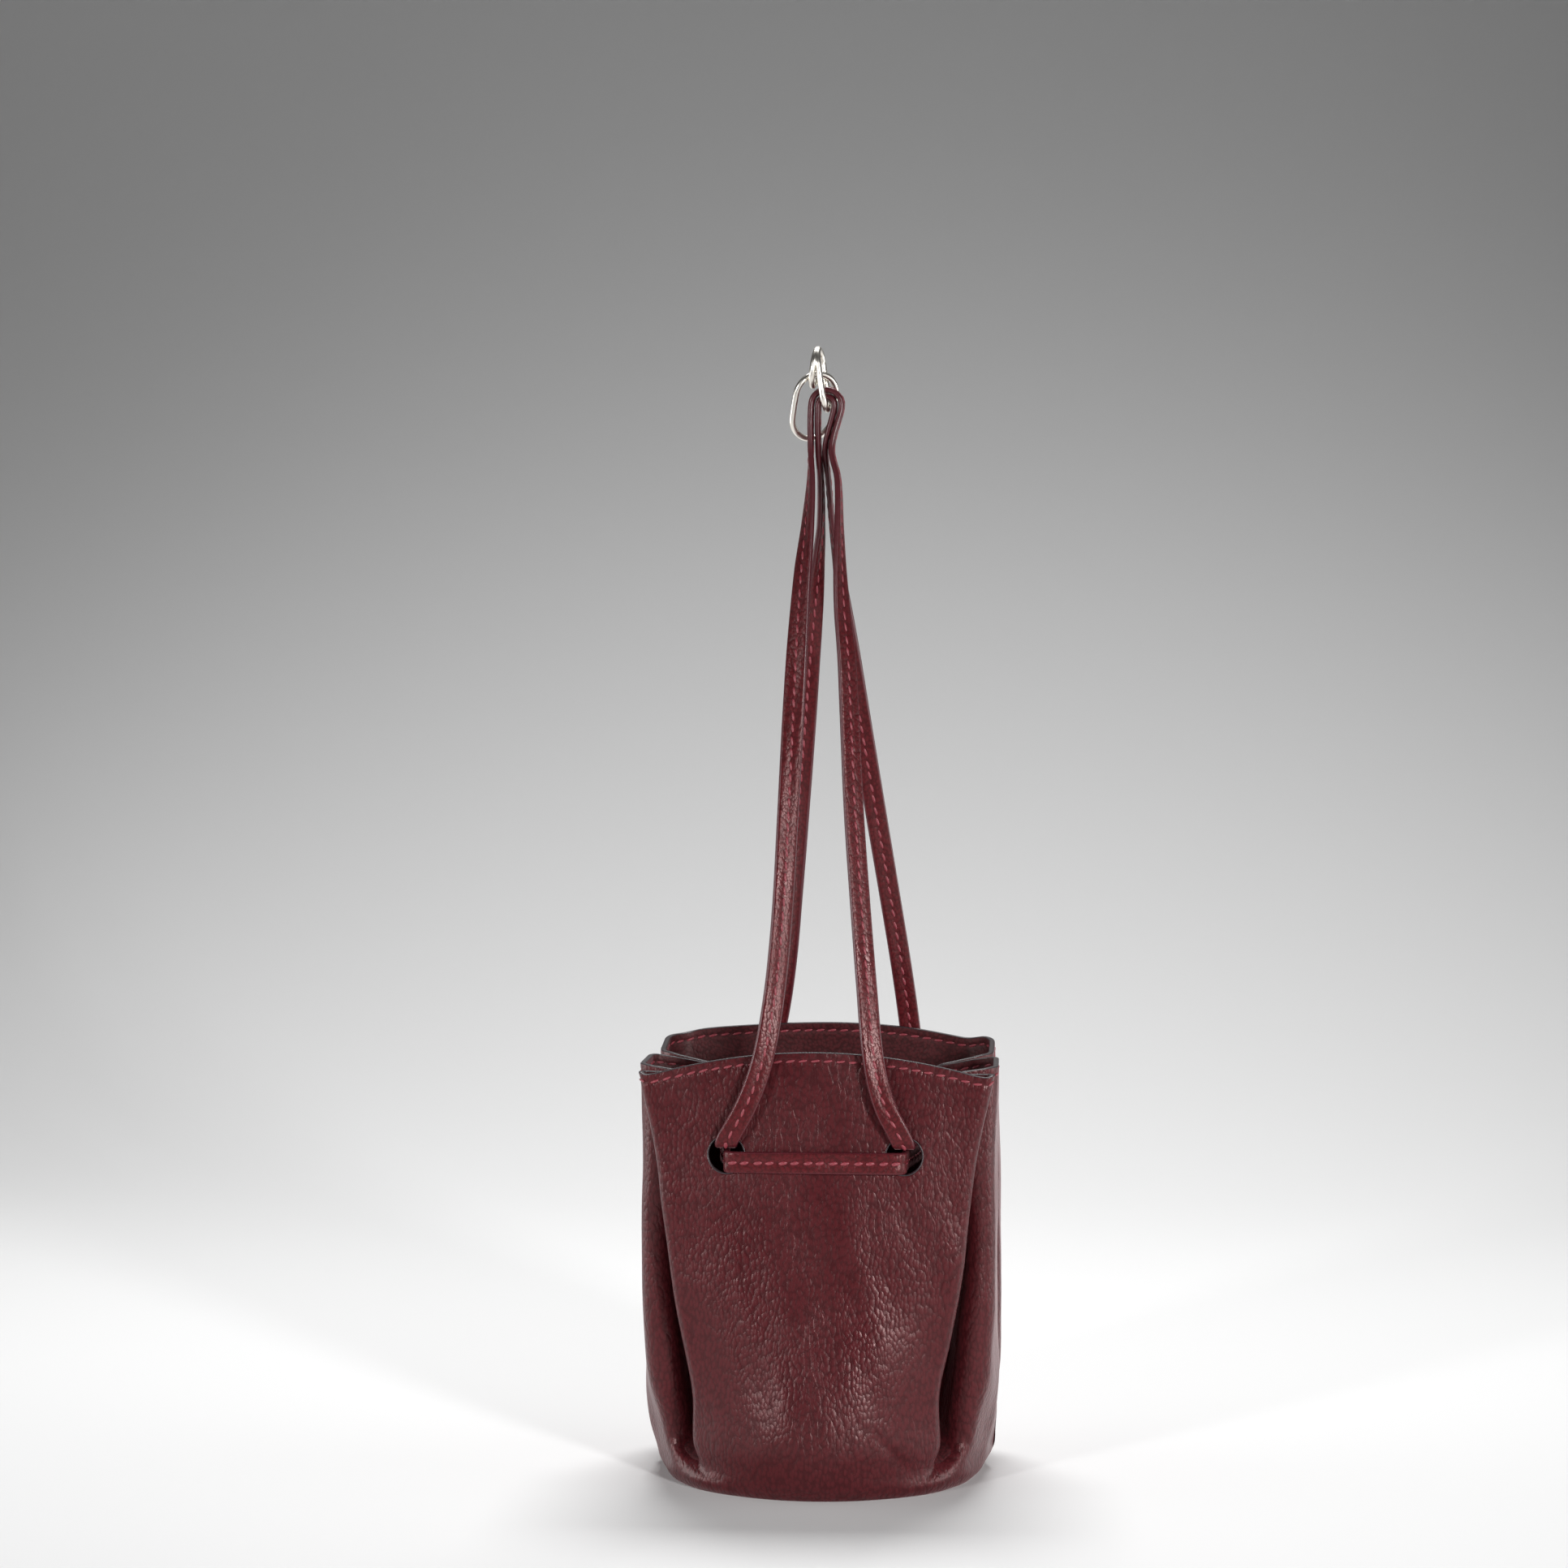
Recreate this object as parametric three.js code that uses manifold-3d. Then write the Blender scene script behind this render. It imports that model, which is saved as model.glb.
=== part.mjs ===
// Leather drawstring pouch: a round-based leather bag with folded sides, two flat stitched straps
// threaded through four holes, and a double-wire hook with an oval ring at the top of the straps.
// Millimetres, +Z up. The front faces -Y and the base rests on z = 0.

import * as THREE from 'three';
import { mergeVertices } from 'three/addons/utils/BufferGeometryUtils.js';
import Module from 'manifold-3d';

// Driving dimensions

const bodyHeight = 115;          // floor to the middle of the front rim
const halfWidth = 46;            // middle of the leather, from the centre to a side fold
const wall = 1.4;                // leather thickness
const holeDiameter = 9.8;
const holeHalfSpacing = 23;      // centre line of the bag to a hole
const holeHeight = 88.4;

const strapWidth = 5.7;
const strapThickness = 1.5;
const strapEdge = 0.35;          // how far the strap's sides are rounded over
const clearance = 0.35;          // gap between neighbouring pieces

const wireDiameter = 1.6;
const hookHeight = 17.5;
const hookWidth = 10;
const hookBottom = 280;
const hookLean = 8;              // degrees, top towards -X
const hookTurn = 85;             // degrees in plan, from +X to the plane of the hook
const shortLoopLift = 6.25;      // the short loop of the hook ends this far above the long one
const hookX = 0.7;
const ringHeight = 19.4;
const ringWidth = 13.2;
const ringTurn = 30;             // degrees in plan, right side to the rear
const ringTilt = 19;             // degrees, bottom to the rear
const ringHang = 7.2;            // top of the hook to the top of the ring
const ringOffset = 0.2;          // the ring hangs this far to the right of the hook's top

const leatherColour = 0x5a1f26;
const strapColour = 0x642530;
const metalColour = 0xe9e6df;

// Bag section. Each fold is a small circle that the leather wraps around, given at several heights.
// height is a share of the bag's height; x, y and radius are shares of the half width.
// A negative radius is a fold that turns inwards.
// angle is where the fold lies on the round base, measured from the front, baseReach how far out
// it lies there, and rimDrop how far the rim lies below its highest point, as a share of panelRimDrop.

const folds = [
  {
    name: 'crest', angle: 38, baseReach: 1.02, points: 6, rimDrop: 0.88,
    rows: [
      { height: 0.06, x: 0.530, y: -0.600, radius: 0.125 },
      { height: 0.08, x: 0.561, y: -0.615, radius: 0.102 },
      { height: 0.10, x: 0.593, y: -0.622, radius: 0.093 },
      { height: 0.15, x: 0.622, y: -0.643, radius: 0.065 },
      { height: 0.24, x: 0.628, y: -0.678, radius: 0.057 },
      { height: 0.38, x: 0.704, y: -0.683, radius: 0.046 },
      { height: 0.60, x: 0.796, y: -0.672, radius: 0.037 },
      { height: 0.80, x: 0.857, y: -0.643, radius: 0.033 },
      { height: 1.00, x: 0.958, y: -0.622, radius: 0.030 },
    ],
  },
  {
    name: 'pleat', angle: 45, baseReach: 1.03, points: 5, rimDrop: 0.92,
    rows: [
      { height: 0.06, x: 0.709, y: -0.674, radius: -0.043 },
      { height: 0.08, x: 0.691, y: -0.557, radius: -0.035 },
      { height: 0.10, x: 0.678, y: -0.439, radius: -0.033 },
      { height: 0.15, x: 0.674, y: -0.380, radius: -0.035 },
      { height: 0.24, x: 0.696, y: -0.359, radius: -0.037 },
      { height: 0.38, x: 0.752, y: -0.348, radius: -0.033 },
      { height: 0.60, x: 0.809, y: -0.446, radius: -0.027 },
      { height: 0.80, x: 0.796, y: -0.565, radius: -0.026 },
      { height: 1.00, x: 0.822, y: -0.565, radius: -0.027 },
    ],
  },
  {
    name: 'lobe', angle: 58, baseReach: 1.02, points: 5, rimDrop: 0.72,
    rows: [
      { height: 0.06, x: 0.678, y: -0.441, radius: 0.143 },
      { height: 0.08, x: 0.765, y: -0.417, radius: 0.096 },
      { height: 0.10, x: 0.800, y: -0.391, radius: 0.074 },
      { height: 0.15, x: 0.817, y: -0.400, radius: 0.085 },
      { height: 0.24, x: 0.861, y: -0.426, radius: 0.096 },
      { height: 0.38, x: 0.893, y: -0.441, radius: 0.091 },
      { height: 0.60, x: 0.920, y: -0.443, radius: 0.070 },
      { height: 0.80, x: 0.889, y: -0.439, radius: 0.098 },
      { height: 1.00, x: 0.905, y: -0.415, radius: 0.098 },
    ],
  },
  {
    name: 'cheek', angle: 80, baseReach: 1, points: 4, rimDrop: 0.72,
    rows: [
      { height: 0.06, x: 0.680, y: -0.120, radius: 0.261 },
      { height: 0.10, x: 0.741, y: -0.128, radius: 0.233 },
      { height: 0.15, x: 0.765, y: -0.130, radius: 0.227 },
      { height: 0.24, x: 0.856, y: -0.145, radius: 0.148 },
      { height: 0.38, x: 0.893, y: -0.152, radius: 0.102 },
      { height: 0.60, x: 0.909, y: -0.163, radius: 0.087 },
      { height: 0.80, x: 0.920, y: -0.152, radius: 0.076 },
      { height: 1.00, x: 0.924, y: -0.100, radius: 0.072 },
    ],
  },
  {
    name: 'side valley', angle: 93, baseReach: 1, points: 5, rimDrop: 1.22,
    rows: [
      { height: 0.06, x: 1.261, y: 0.050, radius: -0.283 },
      { height: 0.10, x: 1.185, y: 0.050, radius: -0.202 },
      { height: 0.15, x: 1.120, y: 0.050, radius: -0.130 },
      { height: 0.24, x: 1.046, y: 0.045, radius: -0.085 },
      { height: 0.38, x: 0.957, y: 0.043, radius: -0.046 },
      { height: 0.60, x: 0.841, y: 0.043, radius: -0.030 },
      { height: 0.80, x: 0.765, y: 0.045, radius: -0.026 },
      { height: 1.00, x: 0.685, y: 0.055, radius: -0.025 },
    ],
  },
  {
    name: 'rear cheek', angle: 104, baseReach: 1, points: 4, rimDrop: 0.81,
    rows: [
      { height: 0.06, x: 0.674, y: 0.207, radius: 0.261 },
      { height: 0.10, x: 0.722, y: 0.209, radius: 0.233 },
      { height: 0.15, x: 0.740, y: 0.210, radius: 0.225 },
      { height: 0.24, x: 0.850, y: 0.230, radius: 0.145 },
      { height: 0.38, x: 0.885, y: 0.235, radius: 0.113 },
      { height: 0.60, x: 0.900, y: 0.240, radius: 0.098 },
      { height: 0.80, x: 0.872, y: 0.245, radius: 0.110 },
      { height: 1.00, x: 0.818, y: 0.255, radius: 0.140 },
    ],
  },
  {
    name: 'rear corner', angle: 126, baseReach: 1.02, points: 6, rimDrop: 0.46,
    rows: [
      { height: 0.06, x: 0.533, y: 0.402, radius: 0.291 },
      { height: 0.10, x: 0.593, y: 0.413, radius: 0.259 },
      { height: 0.15, x: 0.630, y: 0.420, radius: 0.228 },
      { height: 0.24, x: 0.750, y: 0.425, radius: 0.230 },
      { height: 0.38, x: 0.830, y: 0.435, radius: 0.166 },
      { height: 0.60, x: 0.870, y: 0.445, radius: 0.128 },
      { height: 0.80, x: 0.845, y: 0.450, radius: 0.140 },
      { height: 1.00, x: 0.775, y: 0.455, radius: 0.183 },
    ],
  },
];

// Front and rear panels: how far out the middle of the panel lies, as a share of the half width.
// The panel bows so that it runs into its two crest folds.

const panelRimDrop = 6.4;        // drop of the rim at the side edge of the front panel
const panelEdge = 0.94;          // share of the half width where that drop is reached
const panelBow = 0.97;           // 1 makes the bow meet the crest folds without a straight run
const panels = [
  {
    name: 'front', side: -1, points: 11, rimDrop: 1,
    rows: [
      { height: 0.06, reach: 0.955 },
      { height: 0.10, reach: 0.967 },
      { height: 0.15, reach: 0.957 },
      { height: 0.24, reach: 0.913 },
      { height: 0.38, reach: 0.854 },
      { height: 0.60, reach: 0.772 },
      { height: 0.80, reach: 0.717 },
      { height: 1.00, reach: 0.674 },
    ],
  },
  {
    name: 'rear', side: 1, points: 9, rimDrop: 0.62,
    rows: [
      { height: 0.06, reach: 0.953 },
      { height: 0.10, reach: 0.965 },
      { height: 0.15, reach: 0.950 },
      { height: 0.24, reach: 0.905 },
      { height: 0.38, reach: 0.848 },
      { height: 0.60, reach: 0.772 },
      { height: 0.80, reach: 0.717 },
      { height: 1.00, reach: 0.680 },
    ],
  },
];

// Rounded bottom of the bag: radius of the round base as a share of the half width.

const baseRows = [
  { height: 0.000, radius: 0.893 },
  { height: 0.008, radius: 0.910 },
  { height: 0.025, radius: 0.929 },
  { height: 0.045, radius: 0.945 },
  { height: 0.060, radius: 0.953 },
];
const foldStart = 0.015;         // share of the height where the folds begin to form
const foldFormed = 0.06;         // and where they are formed, at the first row of the tables
const baseFoldRadius = 0.6;      // share of the round base taken by each fold circle
const sectionHeights = [
  0, 0.008, 0.025, 0.042, 0.06, 0.08, 0.105, 0.15, 0.195, 0.24, 0.31, 0.38, 0.49, 0.6, 0.7, 0.8, 0.9, 1,
];

// Straps. Each row is a height on the two rising strands, as a share of the way from the holes to
// the hook. out is how far the strands lie from the bag's middle plane, as a share of their reach at
// the holes. left and right are their x as shares of the hole spacing, and the turns are the angles
// in degrees between the strand's width and the x axis.

const frontStrapRows = [
  { height: 0.909, out: 0.106, left: -0.139, right: 0.170, leftTurn: 76, rightTurn: 88 },
  { height: 0.846, out: 0.206, left: -0.165, right: 0.196, leftTurn: 58, rightTurn: 80 },
  { height: 0.789, out: 0.286, left: -0.206, right: 0.212, leftTurn: 40, rightTurn: 66 },
  { height: 0.731, out: 0.352, left: -0.238, right: 0.245, leftTurn: 28, rightTurn: 52 },
  { height: 0.669, out: 0.424, left: -0.265, right: 0.300, leftTurn: 14, rightTurn: 42 },
  { height: 0.596, out: 0.498, left: -0.292, right: 0.338, leftTurn: 0, rightTurn: 36 },
  { height: 0.460, out: 0.636, left: -0.338, right: 0.405, leftTurn: -18, rightTurn: 32 },
  { height: 0.329, out: 0.770, left: -0.386, right: 0.495, leftTurn: -26, rightTurn: 30 },
  { height: 0.225, out: 0.876, left: -0.457, right: 0.574, leftTurn: -24, rightTurn: 26 },
  { height: 0.146, out: 0.955, left: -0.556, right: 0.639, leftTurn: -16, rightTurn: 20 },
  { height: 0.099, out: 0.988, left: -0.665, right: 0.709, leftTurn: -8, rightTurn: 10 },
  { height: 0.063, out: 1.005, left: -0.791, right: 0.809, leftTurn: -3, rightTurn: 4 },
  { height: 0.040, out: 1.005, left: -0.896, right: 0.909, leftTurn: 0, rightTurn: 0 },
];

const rearStrapRows = [
  { height: 0.909, out: 0.106, left: -0.048, right: 0.039, leftTurn: 88, rightTurn: 88 },
  { height: 0.846, out: 0.206, left: -0.057, right: 0.074, leftTurn: 82, rightTurn: 82 },
  { height: 0.789, out: 0.286, left: -0.105, right: 0.135, leftTurn: 62, rightTurn: 66 },
  { height: 0.731, out: 0.352, left: -0.155, right: 0.195, leftTurn: 36, rightTurn: 46 },
  { height: 0.669, out: 0.424, left: -0.205, right: 0.262, leftTurn: 16, rightTurn: 26 },
  { height: 0.596, out: 0.498, left: -0.253, right: 0.345, leftTurn: 0, rightTurn: 10 },
  { height: 0.460, out: 0.636, left: -0.345, right: 0.515, leftTurn: -20, rightTurn: -8 },
  { height: 0.329, out: 0.770, left: -0.440, right: 0.685, leftTurn: -28, rightTurn: -16 },
  { height: 0.225, out: 0.876, left: -0.530, right: 0.817, leftTurn: -26, rightTurn: -16 },
  { height: 0.146, out: 0.955, left: -0.640, right: 0.904, leftTurn: -18, rightTurn: -10 },
  { height: 0.099, out: 0.988, left: -0.739, right: 0.948, leftTurn: -9, rightTurn: -6 },
  { height: 0.063, out: 1.005, left: -0.835, right: 0.978, leftTurn: -3, rightTurn: -2 },
  { height: 0.040, out: 1.005, left: -0.913, right: 0.991, leftTurn: 0, rightTurn: 0 },
];

const gatherHeight = 0.951;      // the four strands lie flat against each other here
const gatherX = -0.6;
const strapSeatRise = 1.2;       // the straps sit on the rising sides of the hook's round bottom
const innerSeatRadius = 2.15;    // centre line of the rear strap over the hook
const strapPitch = strapThickness + clearance;
const outerSeatRadius = innerSeatRadius + strapPitch;
const bendRadius = 1.6;          // centre line of a strap turning into or out of a hole
const upperLane = 2.6;           // descending strap lies this far above the hole's centre
const lowerLane = -1.6;          // crossing strap lies this far below the hole's centre
const innerSidestep = 2.8;       // the two straps pass each other inside the bag
const crossingFlat = 0.99;      // reach of a strap at the holes, as a share of that at mid panel

const frontStrapRun = { seatRadius: outerSeatRadius, lane: 1.5, sidestep: -innerSidestep, mirror: 1 };
const rearStrapRun = { seatRadius: innerSeatRadius, lane: 0.5, sidestep: innerSidestep, mirror: -1 };

const degrees = Math.PI / 180;

// Value of every numeric column at a height, by smooth interpolation between rows

function atHeight(rows, height) {
  const last = rows.length - 1;
  let i = 0;
  while (i < last - 1 && height > rows[i + 1].height) i += 1;
  const before = rows[Math.max(i - 1, 0)];
  const low = rows[i];
  const high = rows[i + 1];
  const after = rows[Math.min(i + 2, last)];
  const span = high.height - low.height;
  const t = THREE.MathUtils.clamp((height - low.height) / span, 0, 1);
  const value = {};
  for (const key of Object.keys(low)) {
    const slopeIn = span * (high[key] - before[key]) / (high.height - before.height);
    const slopeOut = span * (after[key] - low[key]) / (after.height - low.height);
    value[key] = low[key] * (2 * t ** 3 - 3 * t ** 2 + 1) + slopeIn * (t ** 3 - 2 * t ** 2 + t)
      + high[key] * (3 * t ** 2 - 2 * t ** 3) + slopeOut * (t ** 3 - t ** 2);
  }
  return value;
}

// Fold circles of one section, counterclockwise from the middle of the front panel

function sectionCircles(height) {
  const roundRadius = atHeight(baseRows, Math.min(height, foldFormed)).radius * halfWidth;
  const blend = THREE.MathUtils.smoothstep(height, foldStart, foldFormed);
  const side = folds.map((fold) => {
    const row = atHeight(fold.rows, Math.max(height, foldFormed));
    const radius = baseFoldRadius * roundRadius;
    const reach = fold.baseReach * roundRadius - radius;
    const round = {
      x: reach * Math.sin(fold.angle * degrees),
      y: -reach * Math.cos(fold.angle * degrees),
      radius,
    };
    return {
      x: THREE.MathUtils.lerp(round.x, row.x * halfWidth, blend),
      y: THREE.MathUtils.lerp(round.y, row.y * halfWidth, blend),
      radius: THREE.MathUtils.lerp(round.radius, row.radius * halfWidth, blend),
      points: fold.points,
      rimDrop: fold.rimDrop * panelRimDrop,
    };
  });
  const [front, rear] = panels.map((panel) => {
    const row = atHeight(panel.rows, Math.max(height, foldFormed));
    const reach = THREE.MathUtils.lerp(roundRadius, row.reach * halfWidth, blend);
    const corner = panel.side < 0 ? side[0] : side[side.length - 1];
    const inset = reach - Math.abs(corner.y);
    const meeting = (corner.x ** 2 + inset ** 2 - corner.radius ** 2) / (2 * (inset - corner.radius));
    const radius = panelBow * meeting;
    const edgeDrop = panel.rimDrop * panelRimDrop;
    return { x: 0, y: panel.side * (reach - radius), radius, points: panel.points, edgeDrop };
  });
  const mirrored = side.map((circle) => ({ ...circle, x: -circle.x })).reverse();
  return [front, ...side, rear, ...mirrored];
}

// Points of the leather around the fold circles, offset outwards from the middle of the leather

function sectionLoop(height, offset, floorLift) {
  const circles = sectionCircles(height);
  const count = circles.length;
  const headings = circles.map((circle, i) => {
    const next = circles[(i + 1) % count];
    const dx = next.x - circle.x;
    const dy = next.y - circle.y;
    const slant = (next.radius - circle.radius) / Math.hypot(dx, dy);
    return Math.atan2(dy, dx) - Math.asin(THREE.MathUtils.clamp(slant, -1, 1));
  });
  const loop = [];
  circles.forEach((circle, i) => {
    const start = headings[(i + count - 1) % count];
    const lean = circle.radius > 0 ? 0.5 : 2 * Math.PI - 0.5;
    const turn = THREE.MathUtils.euclideanModulo(headings[i] - start + lean, 2 * Math.PI) - lean;
    for (let k = 0; k < circle.points; k += 1) {
      const heading = start + turn * k / (circle.points - 1);
      const x = circle.x + (circle.radius + offset) * Math.sin(heading);
      const y = circle.y - (circle.radius + offset) * Math.cos(heading);
      const drop = circle.rimDrop ?? circle.edgeDrop * (x / (panelEdge * halfWidth)) ** 2;
      loop.push(new THREE.Vector3(x, y, height * (bodyHeight - drop) + floorLift * (1 - height)));
    }
  });
  return loop;
}

// Closed surface from a list of equal loops; each quad is cut into two triangles

function geometryFromLoops(loops, wrap, capped) {
  const size = loops[0].length;
  const positions = loops.flat().flatMap((p) => [p.x, p.y, p.z]);
  const index = [];
  const bands = wrap ? loops.length : loops.length - 1;
  for (let i = 0; i < bands; i += 1) {
    const low = i * size;
    const high = ((i + 1) % loops.length) * size;
    for (let j = 0; j < size; j += 1) {
      const next = (j + 1) % size;
      index.push(low + j, low + next, high + next);
      index.push(low + j, high + next, high + j);
    }
  }
  if (capped) {
    for (const [loop, outward] of [[0, false], [loops.length - 1, true]]) {
      const middle = loops[loop].reduce((sum, p) => sum.add(p), new THREE.Vector3());
      middle.divideScalar(size);
      const centre = positions.length / 3;
      positions.push(0, 0, middle.z);
      for (let j = 0; j < size; j += 1) {
        const a = loop * size + j;
        const b = loop * size + (j + 1) % size;
        index.push(centre, outward ? a : b, outward ? b : a);
      }
    }
  }
  const geometry = new THREE.BufferGeometry();
  geometry.setAttribute('position', new THREE.Float32BufferAttribute(positions, 3));
  geometry.setIndex(index);
  return geometry;
}

function bagGeometry() {
  const outer = sectionHeights.map((height) => sectionLoop(height, wall / 2, 0));
  const inner = sectionHeights.map((height) => sectionLoop(height, -wall / 2, wall)).reverse();
  return geometryFromLoops([...outer, ...inner], false, true);
}

// Sweep of a profile along a closed path; each path point has a position and a width direction

function sweepGeometry(path, profile, stepsPerSpan) {
  const curve = new THREE.CatmullRomCurve3(path.map((p) => p.position), true, 'centripetal');
  const steps = path.length * stepsPerSpan;
  const loops = [];
  for (let i = 0; i < steps; i += 1) {
    const t = i / steps;
    const tangent = curve.getTangent(t);
    const here = Math.floor(i / stepsPerSpan);
    const share = (i % stepsPerSpan) / stepsPerSpan;
    const across = path[here].across.clone().lerp(path[(here + 1) % path.length].across, share);
    across.addScaledVector(tangent, -across.dot(tangent)).normalize();
    const outward = across.clone().cross(tangent);
    loops.push(profile.map(([u, v]) => curve.getPoint(t)
      .addScaledVector(across, u).addScaledVector(outward, v)));
  }
  return geometryFromLoops(loops, true, false);
}

const strapProfile = [
  [strapWidth / 2, 0],
  [strapWidth / 2 - strapEdge, -strapThickness / 2],
  [-strapWidth / 2 + strapEdge, -strapThickness / 2],
  [-strapWidth / 2, 0],
  [-strapWidth / 2 + strapEdge, strapThickness / 2],
  [strapWidth / 2 - strapEdge, strapThickness / 2],
];

function roundProfile(diameter, sides) {
  return Array.from({ length: sides }, (_, i) => {
    const angle = -2 * Math.PI * i / sides;
    return [diameter / 2 * Math.cos(angle), diameter / 2 * Math.sin(angle)];
  });
}

// One half of a strap's loop, from the top down a strand, through the bag and to the far panel.
// side is +1 for the right half and -1 for the left; the strap is built for the front.

function strapHalf(rows, strap, side) {
  const strand = side > 0 ? 'right' : 'left';
  const half = [];
  const add = (x, y, z, ax, ay, az) => half.push({
    position: new THREE.Vector3(x, y, z),
    across: new THREE.Vector3(ax, ay, az),
  });
  const crossing = holeHeight + lowerLane;
  const reachAt = (z) => atHeight(panels[0].rows, z / bodyHeight).reach * halfWidth;
  const lean = (reachAt(crossing - strapWidth / 2) - reachAt(crossing + strapWidth / 2)) / strapWidth;
  const middle = reachAt(crossing) + wall / 2 + clearance + strapThickness / 2;
  const face = middle * crossingFlat;
  const seat = hookBottom + wireDiameter / 2 + strapSeatRise;
  for (const angle of [90, 60, 30, 0]) {
    if (side > 0 || angle < 90) {
      const x = hookX + side * strap.seatRadius * Math.cos(angle * degrees);
      add(x, 0, seat + strap.seatRadius * Math.sin(angle * degrees), 0, -1, 0);
    }
  }
  const rise = hookBottom - holeHeight;
  const gatherOut = rows[0].out * middle / 3;
  add(gatherX + side * strap.lane * strapPitch, -gatherOut, holeHeight + gatherHeight * rise, 0, -1, 0);
  for (const row of rows) {
    const turn = row[`${strand}Turn`] * degrees;
    add(row[strand] * holeHalfSpacing, -row.out * middle, holeHeight + row.height * rise,
      -side * Math.cos(turn), -Math.sin(turn), 0);
  }
  const hole = side * holeHalfSpacing;
  const upper = holeHeight + upperLane;
  const lower = holeHeight + lowerLane;
  const bend = bendRadius * (1 - Math.SQRT1_2);
  const step = hole + side * strap.sidestep;
  add(side * (holeHalfSpacing - bend), -face, upper + bendRadius, -side, 0, 0);
  add(hole, -face + bend, upper + bend, -side, 0, 0);
  add(hole, -face + bendRadius, upper, -side, 0, 0);
  add(hole, -face + 3 * bendRadius, upper, -side, 0, 0);
  add(step, -holeHalfSpacing * 0.65, upper, -side, 0, 0);
  add(step, 0, (upper + lower) / 2, -side, 0, -1);
  add(step, holeHalfSpacing * 0.55, lower, 0, 0, -1);
  add(hole, face - 3 * bendRadius, lower, 0, 0, -1);
  add(hole, face - bendRadius, lower, 0, 0, -1);
  add(hole - side * bend, face - bend, lower, 0, 0, -1);
  add(hole - side * bendRadius, face, lower, 0, lean, -1);
  add(hole * 0.6, face + (middle - face) * 0.7, lower, 0, lean, -1);
  if (side > 0) add(0, middle, lower, 0, lean, -1);
  return half;
}

function strapGeometry(rows, strap) {
  const path = [...strapHalf(rows, strap, 1), ...strapHalf(rows, strap, -1).reverse()];
  for (const point of path) {
    point.position.y *= strap.mirror;
    point.across.y *= strap.mirror;
  }
  return sweepGeometry(path, strapProfile, 2);
}

// Upright oval wire loop, with straight sides, in the plane that holds +Z and the plan direction

function ovalPath(width, height, stepsPerEnd) {
  const radius = (width - wireDiameter) / 2;
  const straight = Math.max(height - width, 0) / 2;
  const path = [];
  for (const end of [1, -1]) {
    for (let i = 0; i <= stepsPerEnd; i += 1) {
      const angle = (end > 0 ? 0 : Math.PI) + Math.PI * i / stepsPerEnd;
      path.push({
        position: new THREE.Vector3(radius * Math.cos(angle), 0, radius * Math.sin(angle) + end * straight),
        across: new THREE.Vector3(0, 1, 0),
      });
    }
  }
  return path;
}

const wasm = await Module();
wasm.setup();

function toSolid(geometry) {
  const clean = geometry.clone();
  clean.deleteAttribute('normal');
  clean.deleteAttribute('uv');
  const merged = mergeVertices(clean, 1e-4);
  return new wasm.Manifold(new wasm.Mesh({
    numProp: 3,
    vertProperties: new Float32Array(merged.attributes.position.array),
    triVerts: new Uint32Array(merged.index.array),
  }));
}

function toGeometry(solid) {
  const mesh = solid.getMesh();
  const geometry = new THREE.BufferGeometry();
  geometry.setAttribute('position', new THREE.BufferAttribute(mesh.vertProperties.slice(), 3));
  geometry.setIndex(new THREE.BufferAttribute(mesh.triVerts.slice(), 1));
  geometry.computeVertexNormals();
  return geometry;
}

function material(name, color, roughness, metalness) {
  return new THREE.MeshStandardMaterial({ name, color, roughness, metalness });
}

function piece(name, geometry, surface) {
  if (!geometry.attributes.normal) geometry.computeVertexNormals();
  const mesh = new THREE.Mesh(geometry, surface);
  mesh.name = name;
  return mesh;
}

const leather = material('leather', leatherColour, 0.42, 0);
const strapLeather = material('strap_leather', strapColour, 0.46, 0);
const metal = material('silver_metal', metalColour, 0.16, 1);

// Bag with its four strap holes

let bag = toSolid(bagGeometry());
for (const side of [-1, 1]) {
  const drill = new THREE.CylinderGeometry(holeDiameter / 2, holeDiameter / 2, 4 * halfWidth, 20);
  drill.translate(side * holeHalfSpacing, 0, holeHeight);
  bag = bag.subtract(toSolid(drill));
}

// Hook: a long and a short wire loop, joined at the top

function hookLoop(height, lean) {
  const geometry = sweepGeometry(ovalPath(hookWidth, height, 8), roundProfile(wireDiameter, 6), 1);
  geometry.translate(0, 0, -height / 2);
  geometry.rotateZ(hookTurn * degrees);
  geometry.rotateY(lean * degrees);
  return geometry;
}

const hook = toSolid(hookLoop(hookHeight, -hookLean))
  .add(toSolid(hookLoop(hookHeight - shortLoopLift, hookLean)));
const hookTop = new THREE.Vector3(
  hookX - (hookHeight - wireDiameter) * Math.sin(hookLean * degrees),
  0,
  hookBottom + wireDiameter / 2 + (hookHeight - wireDiameter) * Math.cos(hookLean * degrees) + wireDiameter / 2,
);

const group = new THREE.Group();
group.name = 'leather_pouch';

const body = piece('pouch_body', toGeometry(bag), leather);
const frontStrap = piece('front_strap', strapGeometry(frontStrapRows, frontStrapRun), strapLeather);
const rearStrap = piece('back_strap', strapGeometry(rearStrapRows, rearStrapRun), strapLeather);
const strapHook = piece('strap_hook', toGeometry(hook), metal);
strapHook.position.copy(hookTop);
const ring = piece('oval_ring',
  sweepGeometry(ovalPath(ringWidth, ringHeight, 8), roundProfile(wireDiameter, 8), 1), metal);
ring.geometry.translate(0, 0, -ringHeight / 2 + wireDiameter / 2);
ring.rotation.set(ringTilt * degrees, 0, ringTurn * degrees, 'ZYX');
ring.position.set(hookTop.x + ringOffset, 0, hookTop.z - ringHang);

group.add(body, frontStrap, rearStrap, strapHook, ring);

export default group;
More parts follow.
